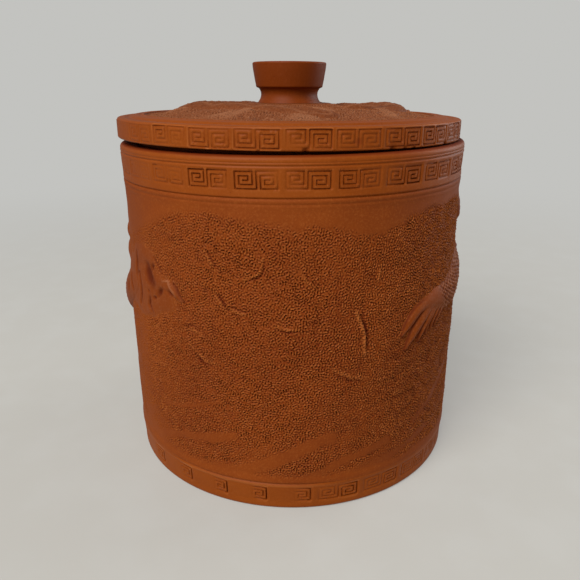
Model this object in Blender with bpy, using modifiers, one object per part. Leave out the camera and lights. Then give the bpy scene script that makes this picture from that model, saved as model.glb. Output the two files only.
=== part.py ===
"""Lidded jar of unglazed red clay: a thrown cylinder with a lid, a knob and a dragon laid on in low relief.

The jar and the lid are the two loose pieces. The clay that the potter made by itself and joined on before
firing, the knob and each roll of the dragon and the clouds, is an object of its own.
Metres, +Z up. The origin is the middle of the flat base, and the plain side of the jar faces -Y.
Places on the wall are (angle, height): the angle is in degrees from -Y, growing towards +X.
"""

import math

import bmesh
import bpy
from mathutils import Matrix, Vector

# Jar, turned on the wheel
JAR_HEIGHT = 0.1239
FOOT_RADIUS = 0.0661
BELLY_RADIUS = 0.0667
SHOULDER_RADIUS = 0.0654
LIP_RADIUS = 0.0657
BELLY_LOW = 0.012
BELLY_HIGH = 0.060
SHOULDER_LOW = 0.092
WALL_THICKNESS = 0.006
FLOOR_THICKNESS = 0.007
INSIDE_FILLET = 0.007
FOOT_ROUND = 0.0016
LIP_ROUND = 0.0009
RIM_SLANT = 0.004  # rise of the rim towards +X, as a slope

# Lines turned into the wall
UPPER_LINE_DROP = 0.0030  # below the rim
LOWER_LINE_DROP = 0.0126  # below the rim
FOOT_LINE_HEIGHT = 0.0108
LINE_WIDTH = 0.0011
LINE_DEPTH = 0.0005

# Lid, with the flange that keeps it in the mouth
LID_INSET = 0.0007  # how far the lid's edge stands back from the rim's
LID_RADIUS = LIP_RADIUS - LID_INSET
LID_EDGE_HEIGHT = 0.0068
LID_EDGE_ROUND = 0.0009
LID_RISE = 0.0050
LID_DOME_POWER = 1.35
LID_THICKNESS = 0.0062
LID_OFFSET = -0.00115  # the lid sits off centre in its seat, towards -X
LID_TILT = 0.0085  # and a little higher at -X, as a slope
OUTER_LINE_INSET = 0.0028  # the two lines on top, from the lid's edge
INNER_LINE_INSET = 0.0082
SEAT_GAP = 0.0003  # where the lid comes closest to the rim
FLANGE_CLEARANCE = 0.0018
FLANGE_THICKNESS = 0.0048
FLANGE_DEPTH = 0.0100
FLANGE_ROUND = 0.0012

# Knob
KNOB_TOP_RADIUS = 0.01405
KNOB_CUP_RADIUS = 0.0128
KNOB_NECK_RADIUS = 0.0108
KNOB_FOOT_RADIUS = 0.0120
KNOB_CUP_HEIGHT = 0.0094
KNOB_NECK_HEIGHT = 0.0049
KNOB_DISH = 0.0005
KNOB_ROUND = 0.0007
KNOB_LAND = 0.0030  # flat of the lid round the knob's foot

# Relief
DRAWN_UNIT = 0.001  # the relief's heights and sizes are drawn in millimetres of the real jar
CLAY_GAP = 0.0003  # between joined pieces
ROLL_SINK = 0.0020  # how far a roll's sides go down before it is cut back to its bed
SINK_STEP = 0.0003  # so that no two rolls of a piece end on one face
BODY_WIDTH = 0.0150
BODY_THICKNESS = 0.0042
LID_ROLL_WIDTH = 0.0130
LID_ROLL_THICKNESS = 0.0024

# Facets
JAR_SEGMENTS = 64
KNOB_SEGMENTS = 36
CREST_STEPS = 5
LUMP_SEGMENTS = 12

RED_CLAY = (0.36, 0.10, 0.035)
DARK_CLAY = (0.27, 0.075, 0.028)


def new_collection(name):
    made = bpy.data.collections.new(name)
    bpy.context.scene.collection.children.link(made)
    return made


for old in list(bpy.data.objects):
    bpy.data.objects.remove(old, do_unlink=True)
PARTS = new_collection("lidded_jar")
CUTTERS = new_collection("cutters")


def clay(name, colour, roughness):
    made = bpy.data.materials.new(name)
    made.use_nodes = True
    shader = made.node_tree.nodes["Principled BSDF"]
    shader.inputs["Base Color"].default_value = (*colour, 1.0)
    shader.inputs["Roughness"].default_value = roughness
    shader.inputs["Metallic"].default_value = 0.0
    return made


def finish(part, colour, roughness, sharp_degrees=35):
    part.data.materials.append(clay(part.name + "_clay", colour, roughness))
    part.data.shade_smooth()
    part.data.set_sharp_from_angle(angle=math.radians(sharp_degrees))
    return part


def as_cutter(cutter):
    cutter.hide_render = True
    cutter.display_type = "WIRE"
    return cutter


# Turned pieces


def arc(centre_radius, centre_height, size, start, end, steps):
    """Points of a rounded corner; angles in degrees, 0 pointing outwards and 90 up."""
    points = []
    for step in range(steps + 1):
        angle = math.radians(start + (end - start) * step / steps)
        points.append((centre_radius + size * math.cos(angle), centre_height + size * math.sin(angle)))
    return points


def line(radius, height):
    """A turned line across a wall, from its upper lip to its lower one."""
    half = LINE_WIDTH / 2
    return [(radius, height + half), (radius - LINE_DEPTH, height), (radius, height - half)]


def turned(name, profile, collection, segments=JAR_SEGMENTS):
    """A profile of (radius, height), spun once round its own Z axis."""
    mesh = bpy.data.meshes.new(name)
    edges = [(point, point + 1) for point in range(len(profile) - 1)]
    mesh.from_pydata([(radius, 0.0, height) for radius, height in profile], edges, [])
    made = bpy.data.objects.new(name, mesh)
    collection.objects.link(made)
    spin = made.modifiers.new("spin", "SCREW")
    spin.axis = "Z"
    spin.angle = math.tau
    spin.screw_offset = 0.0
    spin.steps = segments
    spin.render_steps = segments
    spin.use_merge_vertices = True
    spin.merge_threshold = 0.00001
    return made


def solidified(source, name, collection):
    """The evaluated shape of a spun profile, as a mesh object of its own; the profile's object goes."""
    graph = bpy.context.evaluated_depsgraph_get()
    mesh = bpy.data.meshes.new_from_object(source.evaluated_get(graph))
    shape = bmesh.new()
    shape.from_mesh(mesh)
    bmesh.ops.remove_doubles(shape, verts=shape.verts, dist=0.00001)
    bmesh.ops.recalc_face_normals(shape, faces=shape.faces)
    shape.to_mesh(mesh)
    shape.free()
    place = source.matrix_world.copy()
    bpy.data.objects.remove(source, do_unlink=True)
    mesh.name = name
    made = bpy.data.objects.new(name, mesh)
    made.matrix_world = place
    collection.objects.link(made)
    return made


def ease(share):
    share = min(max(share, 0.0), 1.0)
    return share * share * (3.0 - 2.0 * share)


def wall_radius(height):
    """The outside of the jar: a low foot, a long belly, a drawn-in shoulder and a lip as wide as the lid."""
    knots = (
        (0.0, FOOT_RADIUS),
        (BELLY_LOW, BELLY_RADIUS),
        (BELLY_HIGH, BELLY_RADIUS),
        (SHOULDER_LOW, SHOULDER_RADIUS),
        (JAR_HEIGHT - LOWER_LINE_DROP, SHOULDER_RADIUS),
        (JAR_HEIGHT - UPPER_LINE_DROP - LINE_WIDTH, LIP_RADIUS),
        (JAR_HEIGHT, LIP_RADIUS),
    )
    for (low, low_radius), (high, high_radius) in zip(knots, knots[1:]):
        if height <= high:
            return low_radius + (high_radius - low_radius) * ease((height - low) / (high - low))
    return LIP_RADIUS


def wall_points(low, high, count):
    """Evenly spaced points down the outside of the wall, both ends included."""
    heights = [high + (low - high) * step / (count - 1) for step in range(count)]
    return [(wall_radius(height), height) for height in heights]


def inside_points(low, high, count):
    """Evenly spaced points up the inside, which follows the outside at the wall's thickness."""
    return [(radius - WALL_THICKNESS, height) for radius, height in reversed(wall_points(low, high, count))]


def flange_radius():
    """The widest flange that keeps its clearance all the way down the mouth."""
    mouth = inside_points(JAR_HEIGHT - FLANGE_DEPTH, JAR_HEIGHT, 12)
    return min(radius for radius, _ in mouth) - FLANGE_CLEARANCE


def jar_profile():
    upper = JAR_HEIGHT - UPPER_LINE_DROP
    lower = JAR_HEIGHT - LOWER_LINE_DROP
    corner = FLOOR_THICKNESS + INSIDE_FILLET
    inner_wall = inside_points(corner, JAR_HEIGHT - LIP_ROUND, 9)
    profile = [(0.0, FLOOR_THICKNESS)]
    profile += arc(inner_wall[0][0] - INSIDE_FILLET, corner, INSIDE_FILLET, -90, 0, 5)
    profile += inner_wall[1:-1]
    profile += arc(inner_wall[-1][0] + LIP_ROUND, JAR_HEIGHT - LIP_ROUND, LIP_ROUND, 180, 90, 2)
    profile += arc(LIP_RADIUS - LIP_ROUND, JAR_HEIGHT - LIP_ROUND, LIP_ROUND, 90, 0, 2)
    profile += line(wall_radius(upper), upper)
    profile += line(wall_radius(lower), lower)
    profile += wall_points(FOOT_LINE_HEIGHT + LINE_WIDTH * 2, lower - LINE_WIDTH * 2, 10)
    profile += line(wall_radius(FOOT_LINE_HEIGHT), FOOT_LINE_HEIGHT)
    profile += arc(wall_radius(FOOT_ROUND) - FOOT_ROUND, FOOT_ROUND, FOOT_ROUND, 0, -90, 3)
    profile += [(0.0, 0.0)]
    return profile


def make_jar():
    jar = solidified(turned("jar_spin", jar_profile(), PARTS), "jar_body", PARTS)
    for vertex in jar.data.vertices:
        share = ease((vertex.co.z - SHOULDER_LOW) / (JAR_HEIGHT - SHOULDER_LOW))
        vertex.co.z += RIM_SLANT * vertex.co.x * share
    return finish(jar, RED_CLAY, 0.6)


def lid_top(radius):
    """Height of the lid's upper face over its lower edge: flat round the knob, then falling to the edge."""
    land = KNOB_FOOT_RADIUS + KNOB_LAND
    share = max(0.0, radius - land) / (LID_RADIUS - land)
    return LID_EDGE_HEIGHT + LID_RISE * (1.0 - share**LID_DOME_POWER)


def lid_top_points(inner, outer, count):
    radii = [inner + (outer - inner) * step / (count - 1) for step in range(count)]
    return [(radius, lid_top(radius)) for radius in radii]


def lid_profile():
    half = LINE_WIDTH / 2
    outer_line, inner_line = LID_RADIUS - OUTER_LINE_INSET, LID_RADIUS - INNER_LINE_INSET
    flange = flange_radius()
    hollow = flange - FLANGE_THICKNESS
    profile = [(0.0, lid_top(0.0)), (KNOB_FOOT_RADIUS + KNOB_LAND, lid_top(0.0))]
    profile += lid_top_points(KNOB_FOOT_RADIUS + 2 * KNOB_LAND, inner_line - half, 6)
    profile += [(inner_line, lid_top(inner_line) - LINE_DEPTH)]
    profile += [(inner_line + half, lid_top(inner_line + half))]
    profile += [(outer_line - half, lid_top(outer_line - half))]
    profile += [(outer_line, lid_top(outer_line) - LINE_DEPTH)]
    profile += arc(LID_RADIUS - LID_EDGE_ROUND, LID_EDGE_HEIGHT - LID_EDGE_ROUND, LID_EDGE_ROUND, 80, 0, 2)
    profile += arc(LID_RADIUS - LID_EDGE_ROUND, LID_EDGE_ROUND, LID_EDGE_ROUND, 0, -90, 2)
    profile += [(flange + FLANGE_ROUND, 0.0), (flange, -FLANGE_ROUND)]
    profile += arc(flange - FLANGE_ROUND, -FLANGE_DEPTH + FLANGE_ROUND, FLANGE_ROUND, 0, -90, 2)
    profile += arc(hollow + FLANGE_ROUND, -FLANGE_DEPTH + FLANGE_ROUND, FLANGE_ROUND, -90, -180, 2)
    profile += [(hollow, lid_top(hollow) - LID_THICKNESS - FLANGE_ROUND)]
    profile += [(hollow - 2 * FLANGE_ROUND, lid_top(hollow) - LID_THICKNESS + FLANGE_ROUND / 2)]
    middle = (KNOB_FOOT_RADIUS + hollow) / 2
    profile += [(middle, lid_top(middle) - LID_THICKNESS), (0.0, lid_top(0.0) - LID_THICKNESS)]
    return profile


def knob_profile():
    """A shallow dished cup on a waisted neck that spreads to a foot on the lid's flat."""
    foot = lid_top(0.0) + CLAY_GAP
    neck = foot + KNOB_NECK_HEIGHT / 2
    cup = foot + KNOB_NECK_HEIGHT
    top = cup + KNOB_CUP_HEIGHT
    profile = [(0.0, top - KNOB_DISH), (KNOB_NECK_RADIUS, top - KNOB_DISH)]
    profile += arc(KNOB_TOP_RADIUS - KNOB_ROUND, top - KNOB_ROUND, KNOB_ROUND, 110, 0, 3)
    profile += [(KNOB_CUP_RADIUS, cup + KNOB_ROUND)]
    profile += [(KNOB_CUP_RADIUS - KNOB_ROUND, cup - KNOB_ROUND / 2)]
    profile += [(KNOB_NECK_RADIUS, neck + KNOB_ROUND), (KNOB_NECK_RADIUS, neck - KNOB_ROUND)]
    profile += [(KNOB_FOOT_RADIUS, foot), (0.0, foot)]
    return profile


def make_lid_seat():
    """Stands for the lid's own frame: the middle of its lower edge, tilted and off centre as it sits."""
    gap = SEAT_GAP + (LID_TILT + RIM_SLANT) * LIP_RADIUS
    seat = bpy.data.objects.new("lid_seat", None)
    seat.location = (LID_OFFSET, 0.0, JAR_HEIGHT + gap)
    seat.rotation_euler = (0.0, math.atan(LID_TILT), 0.0)
    PARTS.objects.link(seat)
    return seat


# Relief: rolls of clay laid on a curved face, of which only the crest stands out


def on_wall(place, lift):
    angle, height = math.radians(place[0]), place[1]
    reach = wall_radius(height) + lift
    return Vector((reach * math.sin(angle), -reach * math.cos(angle), height))


def on_lid(place, lift):
    angle, radius = math.radians(place[0]), place[1]
    return Vector((radius * math.sin(angle), -radius * math.cos(angle), lid_top(radius) + lift))


def smooth_route(route, steps):
    """A Catmull-Rom curve through a route's points, each a tuple of numbers."""
    ends = [route[0]] + list(route) + [route[-1]]
    points = []
    for index in range(len(route) - 1):
        before, start, end, after = ends[index : index + 4]
        for step in range(steps):
            t = step / steps
            weights = (
                -0.5 * t + t * t - 0.5 * t**3,
                1.0 - 2.5 * t * t + 1.5 * t**3,
                0.5 * t + 2.0 * t * t - 1.5 * t**3,
                -0.5 * t * t + 0.5 * t**3,
            )
            point = [sum(w * v for w, v in zip(weights, values)) for values in zip(before, start, end, after)]
            points.append(tuple(point))
    return points + [tuple(route[-1])]


def metres_per_degree(surface, place):
    radius = place[1] if surface is on_lid else wall_radius(place[1])
    return math.radians(radius)


def roll_section(surface, place, heading, width, thickness, sink):
    """A half-round crest on straight sides that go down past the face, across a route's heading."""
    scale = metres_per_degree(surface, place)
    along, up = heading[0] * scale, heading[1]
    length = math.hypot(along, up)
    across = (-up / length / scale, along / length)
    points = []
    for step in range(CREST_STEPS + 1):
        angle = math.pi * step / CREST_STEPS
        points.append((-math.cos(angle) * width / 2, thickness * math.sin(angle)))
    points += [(width / 2, -sink), (-width / 2, -sink)]
    return [surface((place[0] + across[0] * side, place[1] + across[1] * side), lift) for side, lift in points]


def loft(name, sections):
    """One closed skin through a row of sections with as many points each."""
    mesh = bpy.data.meshes.new(name)
    shape = bmesh.new()
    rings = [[shape.verts.new(point) for point in section] for section in sections]
    for ring, following in zip(rings, rings[1:]):
        for index in range(len(ring)):
            after = (index + 1) % len(ring)
            shape.faces.new((ring[index], ring[after], following[after], following[index]))
    shape.faces.new(list(reversed(rings[0])))
    shape.faces.new(rings[-1])
    bmesh.ops.recalc_face_normals(shape, faces=shape.faces)
    shape.to_mesh(mesh)
    shape.free()
    made = bpy.data.objects.new(name, mesh)
    CUTTERS.objects.link(made)
    return made


def past_the_end(surface, before, end, grow):
    """The last point of a route, moved on by grow in the way that it was heading."""
    scale = metres_per_degree(surface, end)
    along, up = (end[0] - before[0]) * scale, end[1] - before[1]
    share = grow / math.hypot(along, up)
    return (end[0] + along * share / scale, end[1] + up * share, *end[2:])


def roll(name, route, surface, steps, sink, grow=0.0):
    """A tapered roll along a route of (angle, height or radius, width, thickness) on a face."""
    points = smooth_route(route, steps)
    points[0] = past_the_end(surface, points[1], points[0], grow)
    points[-1] = past_the_end(surface, points[-2], points[-1], grow)
    sections = []
    for index, (angle, along, width, thickness) in enumerate(points):
        before, after = points[max(index - 1, 0)], points[min(index + 1, len(points) - 1)]
        heading = (after[0] - before[0], after[1] - before[1])
        size = (width + 2 * grow, thickness + grow)
        sections.append(roll_section(surface, (angle, along), heading, *size, sink))
    return loft(name, sections)


def lump(name, angle, height, size, turn=0.0):
    """An ellipsoid of half sizes (along, up, out), drawn in units, centred on the wall and tipped anticlockwise."""
    mesh = bpy.data.meshes.new(name)
    shape = bmesh.new()
    bmesh.ops.create_uvsphere(shape, u_segments=LUMP_SEGMENTS, v_segments=LUMP_SEGMENTS // 2, radius=1.0)
    across = Matrix.Rotation(math.radians(angle), 3, "Z")
    out = across @ Vector((0.0, -1.0, 0.0))
    spin = Matrix.Rotation(math.radians(turn), 3, out)
    along, up = spin @ across @ Vector((1.0, 0.0, 0.0)), spin @ Vector((0.0, 0.0, 1.0))
    axes = Matrix((along * size[0], up * size[1], out * size[2])).transposed() * DRAWN_UNIT
    place = Matrix.Translation(on_wall((angle, height * DRAWN_UNIT), 0.0)) @ axes.to_4x4()
    bmesh.ops.transform(shape, matrix=place, verts=shape.verts)
    bmesh.ops.recalc_face_normals(shape, faces=shape.faces)
    shape.to_mesh(mesh)
    shape.free()
    made = bpy.data.objects.new(name, mesh)
    CUTTERS.objects.link(made)
    return made


def cut(part, name, operation, other, solver="EXACT"):
    step = part.modifiers.new(name, "BOOLEAN")
    step.operation = operation
    step.solver = solver
    step.object = as_cutter(other)


def laid_on(name, shapes, beds, colour=RED_CLAY, seat=None):
    """Shapes pressed into one piece, cut back to the faces that they are laid on."""
    part, others = shapes[0], shapes[1:]
    CUTTERS.objects.unlink(part)
    PARTS.objects.link(part)
    part.name = name
    for number, other in enumerate(others):
        other.parent = seat
        cut(part, f"join_{number}", "UNION", other)
    for number, bed in enumerate(beds):
        # The exact solver loses some of these pieces, where many toes end inside the wall at once
        cut(part, f"bed_{number}", "DIFFERENCE", bed, "MANIFOLD")
    part.parent = seat
    return finish(part, colour, 0.65)


def wall_roll(name, route, steps=3, number=0, grow=0.0):
    return roll(name, route, on_wall, steps, ROLL_SINK + SINK_STEP * number, grow)


def make_wall_bed():
    profile = [(0.0, JAR_HEIGHT)]
    profile += [(radius + CLAY_GAP, height) for radius, height in wall_points(0.0, JAR_HEIGHT, 24)]
    profile += [(0.0, 0.0)]
    return as_cutter(turned("wall_bed", profile, CUTTERS))


def make_lid_bed():
    profile = [(0.0, lid_top(0.0) + CLAY_GAP), (KNOB_FOOT_RADIUS + KNOB_LAND, lid_top(0.0) + CLAY_GAP)]
    outer = [(r, z + CLAY_GAP) for r, z in lid_top_points(KNOB_FOOT_RADIUS + 2 * KNOB_LAND, LID_RADIUS, 7)]
    profile += outer + [(LID_RADIUS, -FLANGE_DEPTH), (0.0, -FLANGE_DEPTH)]
    return as_cutter(turned("lid_bed", profile, CUTTERS))


# The dragon's middle line, from the root of the tail to the neck
BODY_ROUTE = (
    (87.5, 78.5, 0.7),
    (94.5, 68.0, 0.85),
    (104.0, 50.0, 0.95),
    (119.0, 38.5, 1.0),
    (136.0, 42.0, 1.0),
    (149.0, 57.0, 1.0),
    (161.0, 75.0, 1.0),
    (176.0, 87.0, 1.0),
    (193.0, 86.0, 1.0),
    (207.0, 73.0, 0.95),
    (217.0, 56.0, 0.85),
    (229.0, 47.0, 0.75),
    (238.0, 51.0, 0.70),
    (243.5, 58.0, 0.65),
)
TAIL_ROUTE = (
    (88.6, 79.0, 10.0, 2.7),
    (93.5, 85.5, 8.2, 2.4),
    (90.5, 91.5, 6.8, 2.0),
    (81.5, 96.0, 5.2, 1.5),
    (86.0, 101.0, 4.6, 1.5),
    (94.0, 101.5, 3.6, 1.5),
    (99.0, 96.5, 2.4, 1.0),
)


def drawn(route):
    """A route drawn in units, turned to metres; its angles stay."""
    return [(angle, *(value * DRAWN_UNIT for value in values)) for angle, *values in route]


def body_route():
    sized = [(BODY_WIDTH * size, BODY_THICKNESS * size) for _, _, size in BODY_ROUTE]
    return [(angle, height * DRAWN_UNIT, *size) for (angle, height, _), size in zip(BODY_ROUTE, sized)]


def talons(name, palm, ends, width=4.0, thickness=2.2):
    """Curved claws that start inside a palm, each bent up or down before its tip."""
    made = []
    for number, (angle, height, bend) in enumerate(ends):
        reach = (angle - palm[0], height - palm[1])
        size = (width + 0.3 * number, thickness + 0.15 * number)
        route = (
            (palm[0] - 0.1 * reach[0], palm[1] - 0.1 * reach[1], *size),
            (palm[0] + 0.5 * reach[0], palm[1] + 0.5 * reach[1] + bend, size[0] * 0.9, size[1]),
            (angle, height, width * 0.35, thickness * 0.4),
        )
        made.append(wall_roll(f"{name}_{number}", drawn(route), 3, number + 1))
    return made


def make_dragon(bed):
    body = wall_roll("dragon_body", body_route(), 3)
    body_room = wall_roll("body_room", body_route(), 3, 1, 1.5 * CLAY_GAP)
    tail = wall_roll("dragon_tail", drawn(TAIL_ROUTE), 3, 2)
    tail_room = wall_roll("tail_room", drawn(TAIL_ROUTE), 3, 3, 1.5 * CLAY_GAP)
    laid_on("dragon_body", [body], [bed])
    laid_on("dragon_tail", [tail], [bed, body_room])
    make_haunch([bed, body_room, tail_room])
    make_reaching_claw(bed)
    make_legs(bed, body_room)
    make_head(bed, body_room)


def make_haunch(beds):
    """The thigh whose elbow and combed hair reach round to the plain side."""
    thigh = (
        (85.0, 73.5, 16.0, 2.4),
        (73.0, 74.2, 16.0, 1.9),
        (61.0, 74.2, 12.5, 1.7),
        (50.0, 72.4, 8.0, 1.4),
        (40.0, 71.5, 2.6, 0.9),
    )
    shapes = [wall_roll("haunch", drawn(thigh), 4, 2)]
    for number in range(4):
        shift = 3.4 * number
        strand = (
            (52.0 - shift, 70.0 + 0.4 * number, 3.0, 1.4),
            (46.5 - shift, 63.5 + 0.8 * number, 2.8, 1.2),
            (42.5 - shift * 0.85, 56.6 + 1.4 * number, 1.4, 0.7),
        )
        shapes.append(wall_roll(f"haunch_hair_{number}", drawn(strand), 3, number + 3))
    laid_on("dragon_haunch", shapes, beds)


def make_reaching_claw(bed):
    """The forefoot that reaches round to the other edge of the plain side."""
    arm = (
        (266.0, 56.0, 10.0, 3.0),
        (276.0, 63.0, 11.5, 2.7),
        (287.0, 71.0, 14.0, 2.1),
        (295.0, 75.0, 12.0, 2.0),
        (302.0, 76.2, 6.0, 1.5),
    )
    reaching = (
        ((298.0, 79.0), (304.5, 86.0), (311.0, 88.5), (316.0, 84.0)),
        ((299.0, 75.5), (308.0, 76.8), (318.0, 80.0), (326.0, 74.8)),
        ((297.0, 71.5), (303.0, 66.0), (309.0, 68.0), (311.5, 71.6)),
    )
    shapes = [wall_roll("reaching_arm", drawn(arm), 4)]
    for number, toe in enumerate(reaching):
        sizes = ((6.4, 1.6), (5.4, 1.3), (4.4, 1.1), (1.8, 0.8))
        route = [(*place, *size) for place, size in zip(toe, sizes)]
        shapes.append(wall_roll(f"reaching_toe_{number}", drawn(route), 3, number + 1))
    laid_on("dragon_reaching_claw", shapes, [bed])


def make_legs(bed, body_room):
    """The two feet that lie wholly on the dragon's side of the jar."""
    legs = {
        "dragon_hind_foot": (
            ((140.0, 42.0), (152.0, 34.0), (160.0, 25.0)),
            ((172.0, 33.0, 2.0), (175.0, 24.0, 1.5), (170.0, 16.5, -1.5), (156.0, 16.5, -1.0)),
        ),
        "dragon_fore_foot": (
            ((203.0, 74.5), (218.0, 86.0), (227.0, 90.0)),
            ((240.0, 97.0, 2.0), (243.0, 89.0, 1.5), (238.0, 82.0, -1.5), (226.0, 101.0, 1.0)),
        ),
    }
    for name, (bones, ends) in legs.items():
        sizes = ((11.0, 3.4), (8.5, 3.0), (7.5, 2.8))
        leg = [(*place, *size) for place, size in zip(bones, sizes)]
        shapes = [wall_roll(f"{name}_leg", drawn(leg), 4, len(ends) + 2)]
        shapes += talons(name, bones[-1], ends)
        laid_on(name, shapes, [bed, body_room])


def make_head(bed, body_room):
    """The head in side view, facing +angle: skull, snout, jaw, brow and nose, with horns and a combed mane."""
    shapes = [
        lump("skull", 248.0, 64.0, (10.5, 8.5, 5.8), 10),
        lump("snout", 257.5, 65.5, (9.2, 5.2, 4.8), 8),
        lump("jaw", 256.0, 58.0, (8.0, 3.0, 3.6), -14),
        lump("brow", 251.0, 70.5, (5.2, 2.6, 6.6), 20),
        lump("nose", 264.0, 68.0, (3.4, 3.4, 5.2)),
    ]
    horns = (
        ((249.0, 70.0), (240.0, 76.5), (231.0, 77.5)),
        ((252.0, 72.5), (247.0, 81.5), (249.0, 89.0)),
    )
    for number, horn in enumerate(horns):
        sizes = ((4.8, 3.6), (3.8, 2.8), (1.4, 1.2))
        route = [(*place, *size) for place, size in zip(horn, sizes)]
        shapes.append(wall_roll(f"horn_{number}", drawn(route), 3, number + 2))
    for number in range(3):
        low = 5.0 * number
        strand = (
            (246.0, 70.0 - low, 5.0, 3.0),
            (237.0, 72.5 - low * 1.1, 4.2, 2.2),
            (229.0, 70.0 - low * 0.95, 1.4, 1.0),
        )
        shapes.append(wall_roll(f"mane_{number}", drawn(strand), 3, number + 4))
    laid_on("dragon_head", shapes, [bed, body_room])


def scroll(name, centre, reach, facing):
    """A cloud scroll: one turn of a spiral roll that runs out into a trailing wisp."""
    route = []
    for step in range(9):
        share = step / 8
        angle = math.radians(360.0 * share + 180.0)
        size = reach * (0.30 + 0.70 * share)
        across = math.degrees(facing * size * math.cos(angle) / BELLY_RADIUS)
        place = (centre[0] + across, centre[1] + size * 0.8 * math.sin(angle))
        route.append((*place, reach * (0.35 + 0.20 * share), reach * (0.20 + 0.10 * share)))
    wisp = ((-0.70, -0.85, 0.52, 0.26), (0.30, -1.25, 0.40, 0.20), (1.60, -1.10, 0.16, 0.09))
    for along, up, width, thickness in wisp:
        across = math.degrees(facing * reach * along / BELLY_RADIUS)
        route.append((centre[0] + across, centre[1] + reach * up, reach * width, reach * thickness))
    return wall_roll(name, route, 2)


def make_clouds(bed):
    clouds = {
        "cloud_over_tail": (112.0, 90.0, 8.5, 1),
        "cloud_under_back": (184.0, 56.0, 8.5, -1),
        "cloud_at_foot": (116.0, 20.0, 6.5, -1),
        "cloud_under_head": (228.0, 23.5, 8.5, 1),
    }
    for name, (angle, height, reach, facing) in clouds.items():
        centre = (angle, height * DRAWN_UNIT)
        laid_on(name, [scroll(name, centre, reach * DRAWN_UNIT, facing)], [bed], DARK_CLAY)


def make_pearl(bed):
    shapes = [lump("pearl", 268.0, 87.0, (5.2, 5.2, 3.4))]
    for number, (angle, height) in enumerate(((261.0, 97.0), (267.0, 99.5), (273.0, 97.5))):
        flame = ((268.0, 90.0, 4.4, 2.0), (angle, height, 1.4, 0.8))
        shapes.append(wall_roll(f"flame_{number}", drawn(flame), 4, number))
    laid_on("flaming_pearl", shapes, [bed])


def make_lid_relief(seat):
    """A dragon's back and cloud wisps round the knob, as (angle, radius) on the lid."""
    bed = make_lid_bed()
    bed.parent = seat
    rolls = {
        "lid_dragon": (
            (-150.0, 30.0, 0.45),
            (-125.0, 37.0, 0.8),
            (-95.0, 37.0, 1.0),
            (-65.0, 33.0, 1.0),
            (-35.0, 29.0, 0.9),
            (-5.0, 33.0, 0.75),
            (18.0, 40.0, 0.5),
        ),
        "lid_cloud_right": (
            (40.0, 30.0, 0.5),
            (62.0, 33.0, 0.9),
            (85.0, 39.0, 1.0),
            (108.0, 37.0, 0.85),
            (130.0, 30.0, 0.45),
        ),
        "lid_cloud_back": (
            (155.0, 40.0, 0.5),
            (175.0, 35.0, 0.8),
            (192.0, 30.0, 0.7),
            (204.0, 38.0, 0.45),
        ),
    }
    for name, route in rolls.items():
        laid = [(a, r * DRAWN_UNIT, LID_ROLL_WIDTH * s, LID_ROLL_THICKNESS * s) for a, r, s in route]
        laid_on(name, [roll(name, laid, on_lid, 4, ROLL_SINK)], [bed], DARK_CLAY, seat)


def make_lid():
    seat = make_lid_seat()
    lid = turned("lid", lid_profile(), PARTS)
    knob = turned("lid_knob", knob_profile(), PARTS, KNOB_SEGMENTS)
    for part in (finish(lid, RED_CLAY, 0.6), finish(knob, RED_CLAY, 0.55)):
        part.parent = seat
    make_lid_relief(seat)


def main():
    make_jar()
    make_lid()
    bed = make_wall_bed()
    make_dragon(bed)
    make_clouds(bed)
    make_pearl(bed)


main()
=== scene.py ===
"""Dresses the lidded jar in fired red clay.

The jar gets its stamped key bands, pitted ground and dragon relief, the lid its dome, rings and knob.
Drawing is done in millimetres on flat drawings: one wraps round the wall, one lies on top of the lid.
Angles are in degrees off the middle of the plain side, to the right of someone who looks at it.
"""

import math
from collections import namedtuple

import bmesh
import bpy
import numpy as np
from mathutils import Matrix


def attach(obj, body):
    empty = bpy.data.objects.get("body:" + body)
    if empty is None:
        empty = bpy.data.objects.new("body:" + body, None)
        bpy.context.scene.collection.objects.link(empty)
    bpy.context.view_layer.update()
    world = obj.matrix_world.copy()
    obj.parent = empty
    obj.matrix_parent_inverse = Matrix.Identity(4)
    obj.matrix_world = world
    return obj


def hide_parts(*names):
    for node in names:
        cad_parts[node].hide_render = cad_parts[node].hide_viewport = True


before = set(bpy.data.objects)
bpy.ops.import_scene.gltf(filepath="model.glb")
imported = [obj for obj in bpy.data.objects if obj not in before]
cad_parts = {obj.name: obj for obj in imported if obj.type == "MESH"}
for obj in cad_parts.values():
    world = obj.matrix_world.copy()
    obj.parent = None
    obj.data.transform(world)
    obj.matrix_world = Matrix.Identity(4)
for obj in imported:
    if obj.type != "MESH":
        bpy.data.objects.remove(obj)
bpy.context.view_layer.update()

MM = 0.001
WRAP = 66.7  # radius on which the wall's flat drawing is wrapped
HALF_ROUND = math.pi * WRAP

# The jar's turned outline, as in the solid: (height, radius)
WALL_KNOTS = ((0, 66.1), (12, 66.7), (60, 66.7), (92, 65.4), (111.3, 65.4), (119.8, 65.7), (123.9, 65.7))
JAR_HEIGHT = 123.9
WALL_THICK = 6
FLOOR_THICK = 7
INNER_BEND = 7
RIM_SLANT = 0.004
SHOULDER_LOW = 92
UPPER_LINE, LOWER_LINE, FOOT_LINE = 120.9, 111.3, 10.8
LINE_HALF, LINE_DEPTH, FAINT_DEPTH = 0.55, 0.5, 0.3
HIDDEN = 63  # inner face of the ground and of the key bands, sunk in the pot
FRONT_LIMIT = 66.69  # how far the clay may come forward on the plain side

LID_PLACE = (-1.15, 0, 125.02)
LID_TILT = 0.0085
LID_RADIUS = 65
LID_EDGE = 6.8


# Numbers and noise


def unit(values):
    return np.clip(values, 0, 1)


def ease(share):
    share = unit(share)
    return share * share * (3 - 2 * share)


def hump(distance, half):
    """One in the middle, nothing past half, smooth in between."""
    return ease(1 - np.abs(distance) / half)


def off_front(angle):
    """An angle brought to the range from -180 to 180."""
    return (angle + 180) % 360 - 180


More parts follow.
